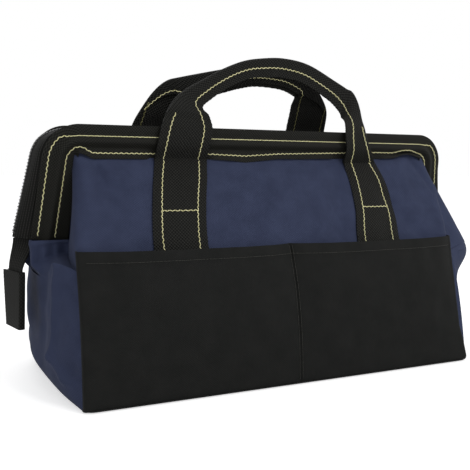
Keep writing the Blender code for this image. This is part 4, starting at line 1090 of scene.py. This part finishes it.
def archPath(footX, footZ, topX, topZ, radius, legCount=40, arcCount=16, topCount=120):
    # a U on its head from the left foot to the right: straight legs, round corners that touch leg and top,
    # and a straight top, as rows of (x, z, outward x, outward z)
    leg = np.array((footX - topX, footZ - topZ))
    leg = leg / np.linalg.norm(leg)
    half = (math.pi / 2 - math.acos(-leg[1])) / 2
    setback = radius * math.tan(half)
    start = np.array((topX, topZ)) + leg * setback
    out = np.array((-leg[1], leg[0]))
    share = np.linspace(0, 1, legCount, endpoint=False)[:, None]
    legs = np.array((footX, footZ)) * (1 - share) + start * share
    legs = np.concatenate([legs, np.tile(out, (legCount, 1))], 1)
    turn = np.linspace(math.atan2(out[1], out[0]), math.pi / 2, arcCount)[:, None]
    rim = np.concatenate([np.cos(turn), np.sin(turn)], 1)
    arcs = np.concatenate([np.array((topX - setback, topZ - radius)) + radius * rim, rim], 1)
    rightHalf = np.concatenate([legs, arcs])
    x = np.linspace(-1, 1, topCount + 2)[1:-1] * (topX - setback)
    top = np.stack([x, topZ + 0 * x, 0 * x, 1 + 0 * x], 1)
    return np.concatenate([rightHalf * (-1, 1, -1, 1), top, rightHalf[::-1]])


bandPath = archPath(*band["arch"])
legWay = bandPath[0, :2] - bandPath[1, :2]
legWay = legWay / np.linalg.norm(legWay)
# the band runs a little past the rod's foot
bandFeet = np.concatenate([bandPath[0, :2] + legWay * band["foot"], bandPath[0, 2:]])
bandPath = np.vstack([bandFeet, bandPath, bandFeet * (-1, 1, -1, 1)])


def topShare(path):
    # 0 on the legs and 1 along the top, from how steeply the path's outward direction points up
    return smoothStep(path[:, 3:4], 0.75, 1.0)


def framePoint(side, path, across, proud):
    # a point beside the path: across lies outward in the frame half's plane, proud away from the middle
    x = path[:, :1] + path[:, 2:3] * across
    z = path[:, 1:2] + path[:, 3:4] * across
    return np.stack([x, side * (frameLean(z) + proud), z], 2)


def channelHeight(across):
    # half thickness of the band: flat edges and a raised-cosine channel over the rod
    near = np.minimum(1, np.abs(across) / band["channel"])
    return band["edge"] + band["bulge"] * np.cos(np.pi / 2 * near) ** 2


def bandShape(side, path, across, outer):
    # across and proud of a band point: the lower lip follows its places along the top and spreads a little
    # on the legs, the upper edge is folded down along the top, the lip of the outer leaf is flared over the
    # panel's edge except where a strap presses on it, and both edges waver
    x, along = path[:, :1], np.linspace(0, 1, len(path))[:, None]
    topRun = topShare(path)
    lower = smoothStep(-across, *band["lowerFrom"])
    wave = sum(np.sin(along * turn + start) * share for turn, start, share in band["waves"])
    goal = topRun * (lipHeight(side, x) + band["width"] / 2) - (1 - topRun) * band["legSpread"]
    goal = goal + band["lipWave"] * wave
    moved = across + lower * goal
    folded = np.maximum(0, across - band["channel"])
    shrink = (band["width"] / 2 - band["topEdge"]) / (band["width"] / 2 - band["channel"])
    upper = smoothStep(across, *band["upperFrom"]) * band["upperWave"] * np.sin(along * band["upperTurn"])
    moved = moved - topRun * shrink * folded + upper
    proud = channelHeight(across) + band["leafWave"] * wave * (np.abs(across) > band["channel"])
    if outer:
        proud = proud + lower * topRun * lipFree(side, x) * (band["flare"] + band["flareWave"] * wave)
    return moved, proud


def bandRow(side, path, outerRow):
    # nominal across place of a row of stitches, whose top run is given where it really lies
    topRun = topShare(path)
    if outerRow:
        leg, top = band["outerRow"]
        return leg + (top - leg) * topRun
    top = np.interp(path[:, :1], band["rowAt"], band["rowTo"]) if side < 0 else band["rearRow"] + 0 * topRun
    return band["innerLeg"] + (top - band["innerLeg"]) * topRun


for side, face in ((-1, "front"), (1, "rear")):
    low, high = -band["width"] / 2, band["width"] / 2
    faceAcross = np.linspace(low, high - 0.0006, 34)[None]
    outAcross, outProud = bandShape(side, bandPath, faceAcross, True)
    backAcross, backProud = bandShape(side, bandPath, faceAcross[:, ::-1], False)
    inAcross = np.linspace(high - 0.0012, low, 30)[None]
    frontIn, frontInProud = bandShape(side, bandPath, inAcross, True)
    backIn, backInProud = bandShape(side, bandPath, inAcross[:, ::-1], False)
    one = np.ones((len(bandPath), 1))
    across = np.concatenate([outAcross, high * one, backAcross, backIn, (high - 0.0009) * one, frontIn], 1)
    proud = np.concatenate([outProud, 0 * one, -backProud, -(backInProud - band["leaf"]), 0 * one,
                            frontInProud - band["leaf"]], 1)
    rings = framePoint(side, bandPath, across, proud)
    item = sweepMesh(face + "_mouth_band_webbing", rings, bandWebbing, sharp=50)
    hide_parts(face + "_mouth_band")
    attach(item, face + "_frame")
    rows, backRows = [], []
    for outerRow in (True, False):
        for isOuter, target in ((True, rows), (False, backRows)):
            # the leaf's own shape gives the height at the row's place
            places, heights = (outAcross, outProud) if isOuter else (backAcross[:, ::-1], backProud[:, ::-1])
            seat = bandRow(side, bandPath, outerRow)
            height = [np.interp(at, *leaf) for at, *leaf in zip(seat[:, 0], places, heights)]
            out = 1 if isOuter else -1
            path = framePoint(side, bandPath, seat, out * np.array(height)[:, None])[1:-1, 0]
            normal = np.tile((0.0, side * out, 0.0), (len(path), 1))
            if outerRow:
                # straight lockstitch along the top, zigzag on the legs
                first, last = np.flatnonzero(bandPath[1:-1, 3] > 0.9)[[0, -1]]
                top = slice(first, last + 1)
                target.append(stitchRow(path[top], normal[top], **band["topStitch"]))
                target.append(stitchRow(path[: first + 1], normal[: first + 1]))
                target.append(stitchRow(path[last:], normal[last:]))
            else:
                target.append(stitchRow(path, normal))
    sewn = ropesMesh(face + "_mouth_band_stitching", rows, paleThread)
    # the inner leaf's rows are drawn in the pale thread with painted shade, darker for the shadow inside the
    # band
    inner = ropesMesh(face + "_mouth_band_inner_stitching", backRows, paintedShadeThread)
    for piece in (sewn, inner):
        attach(piece, face + "_frame")
print("mouth bands made")

# Zip: two ribbed tapes arching over the frame to a row of interlocking teeth

# polyester tape: matt black, with ribs 2.4 mm apart, drawn coarser than the real ones so that they show
ribTurn = math.tau / 2.4
zipTape, tapeTree, tapeShader = newMaterial("woven_polyester_zip_tape", "#1c1c1a", 0.75,
                                            {"Specular IOR Level": 0.1})
tapeUv = addNode(tapeTree, "ShaderNodeUVMap", {"uv_map": "UVMap"})
tapeParts = addNode(tapeTree, "ShaderNodeSeparateXYZ", None, {"Vector": (tapeUv, 0)})
ribTurns = addNode(tapeTree, "ShaderNodeMath", {"operation": "MULTIPLY", 1: ribTurn}, {0: (tapeParts, "X")})
ribs = addNode(tapeTree, "ShaderNodeMath", {"operation": "SINE"}, {0: (ribTurns, 0)})
tapeThreads = weave(tapeTree, (tapeUv, 0), 1.2, 1.1, 0.2)
tapeHeight = addNode(tapeTree, "ShaderNodeMath", {"operation": "MULTIPLY_ADD", 1: 0.35},
                     {0: (tapeThreads, 0), 2: (ribs, 0)})
shadeBy(tapeTree, tapeShader, (tapeHeight, 0), 0.55, 1.5, "#151514", "#393936")
bumpBy(tapeTree, tapeShader, (tapeHeight, 0), 0.0002, 0.8)

zipPart = {
    # foot and top of the row of teeth as (x, z, x, z), the radius of its corners, and its dip along the top
    "arch": (0.238, 0.134, 0.2152, 0.231, 0.034),
    "dipAt": (-0.2, -0.112, 0.0, 0.151, 0.19), "dipTo": (-0.0027, -0.0018, -0.0008, 0.0004, -0.0014),
    # the tape: distance of its edge from the middle, and where it is sewn on the band, across and proud
    "thickness": 0.0009, "edgeY": 0.0009, "root": (0.0100, 0.0125), "sewn": 0.0153, "proud": -0.0017,
    # the teeth: the row's bare ends, and a tooth's rings from the tape's edge to just past the middle, with
    # their swell
    "pitch": 0.0030, "toothLength": 0.0013, "toothHeight": 0.0022, "ends": (0.004, 0.003), "sides": 8,
    "reach": (0.0040, 0.0034, 0.0002, -0.0007), "swell": (0.8, 1.0, 1.0, 0.6),
}
zipPath = archPath(*zipPart["arch"])
ridgeDip = np.interp(zipPath[:, 0], zipPart["dipAt"], zipPart["dipTo"])
ridgePath = zipPath.copy()
ridgePath[:, 1] += ridgeDip * smoothStep(zipPath[:, 3], 0.6, 1)
for side, face in ((-1, "front"), (1, "rear")):
    # the tape is sewn inside the band's upper edge, which is folded down along the top
    shrink = (band["width"] / 2 - band["topEdge"]) * topShare(bandPath)
    root = framePoint(side, bandPath, np.array([zipPart["root"]]) - shrink * 0.8, zipPart["proud"])
    edge = framePoint(side, bandPath, zipPart["sewn"] - shrink, zipPart["proud"])
    # it bulges up to the teeth in a quarter ellipse
    turn = np.linspace(0, math.pi / 2, 12)[None]
    ridge = np.vstack([ridgePath[:1, :2], ridgePath[:, :2], ridgePath[-1:, :2]])[:, None]
    rise = np.sin(turn)
    x = edge[..., 0] + (ridge[..., 0] - edge[..., 0]) * rise
    z = edge[..., 2] + (ridge[..., 1] - edge[..., 2]) * rise
    y = zipPart["edgeY"] + (np.abs(edge[..., 1]) - zipPart["edgeY"]) * np.cos(turn)
    grid = np.concatenate([root, np.stack([x, side * y, z], 2)], 1)
    item = shellMesh(face + "_zip_tape_cloth", grid, zipPart["thickness"], (0, 0, 1), zipTape)
    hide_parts(face + "_zip_tape")
    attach(item, face + "_frame")
    path = np.stack([ridgePath[:, 0], 0 * ridgePath[:, 0], ridgePath[:, 1]], 1)
    both = np.concatenate([path, ridgePath[:, 2:]], 1)
    first, last = zipPart["ends"]
    # the two rows are half a pitch apart, so that they interlock
    first = first + (side > 0) * zipPart["pitch"] / 2
    at = np.arange(first, lengthsAlong(path)[-1] - last, zipPart["pitch"])
    seat = resample(both, at)
    out = np.stack([seat[:, 3], 0 * at, seat[:, 4]], 1)
    out /= np.linalg.norm(out, axis=1, keepdims=True)
    forwardWay = np.stack([out[:, 2], 0 * at, -out[:, 0]], 1)
    reach, swell = np.array(zipPart["reach"]) * side, np.array(zipPart["swell"])[:, None]
    sides = zipPart["sides"]
    # a tooth's ring is a rounded rectangle: sine and cosine flattened by a power
    turn = np.arange(sides) * math.tau / sides + math.pi / 8
    wide = np.sign(np.cos(turn)) * np.abs(np.cos(turn)) ** 0.6 * zipPart["toothLength"] / 2
    tall = np.sign(np.sin(turn)) * np.abs(np.sin(turn)) ** 0.6 * zipPart["toothHeight"] / 2
    ring = forwardWay[:, None, None] * (swell * wide)[None, :, :, None]
    ring = ring + out[:, None, None] * (swell * tall)[None, :, :, None]
    over = np.array((0, 1, 0))[None, None, None] * reach[None, :, None, None]
    teeth = seat[:, None, None, :3] + ring + over
    item = ropesMesh(face + "_zip_teeth", [teeth], zipTeeth, sharp=40)
    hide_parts(face + "_zip_coil")
    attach(item, face + "_frame")

# Zip ends: the joined tapes run on as a tail, gripped by a folded piece of webbing
tail = {
    "top": 0.1337, "drop": 0.036, "width": 0.019, "endWidth": 0.022, "thick": 0.0016, "rib": 0.12,
    # turn of the tail in degrees at its top and at its end, its place at the top and at the end, and its
    # crown, which is round about the rivets' height
    "angle": 45, "endAngle": 72, "shift": -0.0020, "reach": 0.0045, "crownFoot": 0.120,
    # the tab that grips it: its webbing, the slack in its fold, the twist of its open part, the pinked edge
    "tabHeight": 0.050, "tabWidth": 0.030, "overlap": 0.006, "webbing": 0.0018, "gap": 0.0003, "fold": 0.0005,
    "twist": 7, "twistFrom": 0.12, "pink": 0.0005, "pinkPitch": 0.0035,
}
for hand, end in ((-1, "left"), (1, "right")):
    # the tail's tapes: a ribbed flat section that turns and shifts on its way down, with a round crown
    share = np.linspace(0, 1, 30)[:, None]
    turned = np.minimum(1, share * tail["drop"] / (tail["drop"] - tail["overlap"]))
    ease = turned**2 * (3 - 2 * turned)
    angle = hand * np.radians(tail["angle"] + (tail["endAngle"] - tail["angle"]) * ease)
    inset = math.cos(math.radians(tail["angle"])) * tail["width"] / 2
    middle = zipPart["arch"][0] - inset + tail["shift"] * (1 - ease) + tail["reach"] * ease
    wide = np.linspace(-1, 1, 16)
    width = tail["width"] + (tail["endWidth"] - tail["width"]) * ease
    a = np.concatenate([wide, wide[::-1]])[None] * width / 2
    ribbed = 1 - tail["rib"] * (np.abs(np.abs(wide) - 0.5) < 0.1)
    b = np.concatenate([-ribbed, ribbed[::-1]])[None] * tail["thick"] / 2
    x = hand * middle + np.cos(angle) * a - np.sin(angle) * b
    y = np.sin(angle) * a + np.cos(angle) * b
    crownRadius = tail["top"] - tail["crownFoot"]
    crown = np.sqrt(np.maximum(crownRadius**2 - y**2, 0)) - crownRadius
    z = tail["top"] - tail["drop"] * share + crown * (1 - turned)
    item = sweepMesh(end + "_zip_tail_tapes", np.stack([x, y, z], 2), zipTape)
    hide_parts(end + "_zip_tail")
    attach(item, end + "_zip_end")
    # the tab: a U of webbing round the tail, twisted on below it
    inside = tail["thick"] / 2 + tail["gap"]
    outside = inside + tail["webbing"]
    farX = tail["endWidth"] / 2 + tail["fold"]
    nearX = farX - tail["tabWidth"] + tail["webbing"]
    bend = np.linspace(-math.pi / 2, math.pi / 2, 9)[1:-1]
    run = np.linspace(0, 1, 12)
    inX = np.concatenate([nearX + (farX - nearX) * run, farX + (nearX - farX) * run])
    outX = np.insert(inX, len(run), farX + tail["webbing"] * np.cos(bend))
    outY = np.concatenate([-outside + 0 * run, outside * np.sin(bend), outside + 0 * run])
    inY = np.concatenate([inside + 0 * run, -inside + 0 * run])
    # the fold lies on the wall's side of the tail and the open edges on the other
    sectionX, sectionY = -np.concatenate([outX, inX]), np.concatenate([outY, inY])
    down = np.linspace(0, 1, 40)[:, None]
    twist = np.radians(tail["endAngle"] + tail["twist"] * np.maximum(0, down - tail["twistFrom"]))
    # the open edges are cut in a triangle wave
    pink = tail["pink"] * np.abs(((down * tail["tabHeight"] / tail["pinkPitch"]) % 1) - 0.5) * 2
    edgeOnly = np.abs(sectionX + nearX)[None] < 1e-6
    px = sectionX[None] + pink * edgeOnly
    middle = zipPart["arch"][0] - inset + tail["reach"]
    x = hand * (middle + np.cos(twist) * px - np.sin(twist) * sectionY[None])
    y = np.sin(twist) * px + np.cos(twist) * sectionY[None]
    z = tail["top"] - tail["drop"] + tail["overlap"] - tail["tabHeight"] * down + 0 * x
    item = sweepMesh(end + "_zip_tab_webbing", np.stack([x, y, z], 2), strapWebbing)
    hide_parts(end + "_zip_tab")
    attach(item, end + "_zip_end")
print("zip made")

# CAD nodes whose shape is right: rods, rivets, slider, pull and the tabs behind the rivets. The tabs are
# the straps' webbing, polypropylene in a tighter weave; a Mapping node turns Y to X and metres to
# millimetres, for their face stands along Y and Z.
tabWebbing, tabTree, tabShader = newMaterial("woven_pivot_tab_webbing", "#1c1c1e", 0.55)
tabPlace = addNode(tabTree, "ShaderNodeTexCoord")
faceOn = {"Scale": (1000, 1000, 1000), "Rotation": (0, 0, math.pi / 2)}
tabScale = addNode(tabTree, "ShaderNodeMapping", faceOn, {"Vector": (tabPlace, "Object")})
tabTurn = addNode(tabTree, "ShaderNodeSeparateXYZ", None, {"Vector": (tabScale, 0)})
tabFace = addNode(tabTree, "ShaderNodeCombineXYZ", None, {"X": (tabTurn, "X"), "Y": (tabTurn, "Z")})
tabCords = weave(tabTree, (tabFace, 0), 1.5, 1.6, 0.3)
shadeBy(tabTree, tabShader, (tabCords, 0), -0.6, 1.2, "#0d0d0f", "#222224")
bumpBy(tabTree, tabShader, (tabCords, 0), 0.0003, 1.0)
finishes = {
    "front_frame_rod": frameWire, "rear_frame_rod": frameWire, "left_pivot_rivet": frameWire,
    "right_pivot_rivet": frameWire, "zip_slider": sliderMetal, "zip_pull": sliderMetal,
    "left_pivot_tab": tabWebbing, "right_pivot_tab": tabWebbing,
}
for node, material in finishes.items():
    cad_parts[node].data.materials.clear()
    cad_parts[node].data.materials.append(material)
print("finishes given to the CAD nodes")
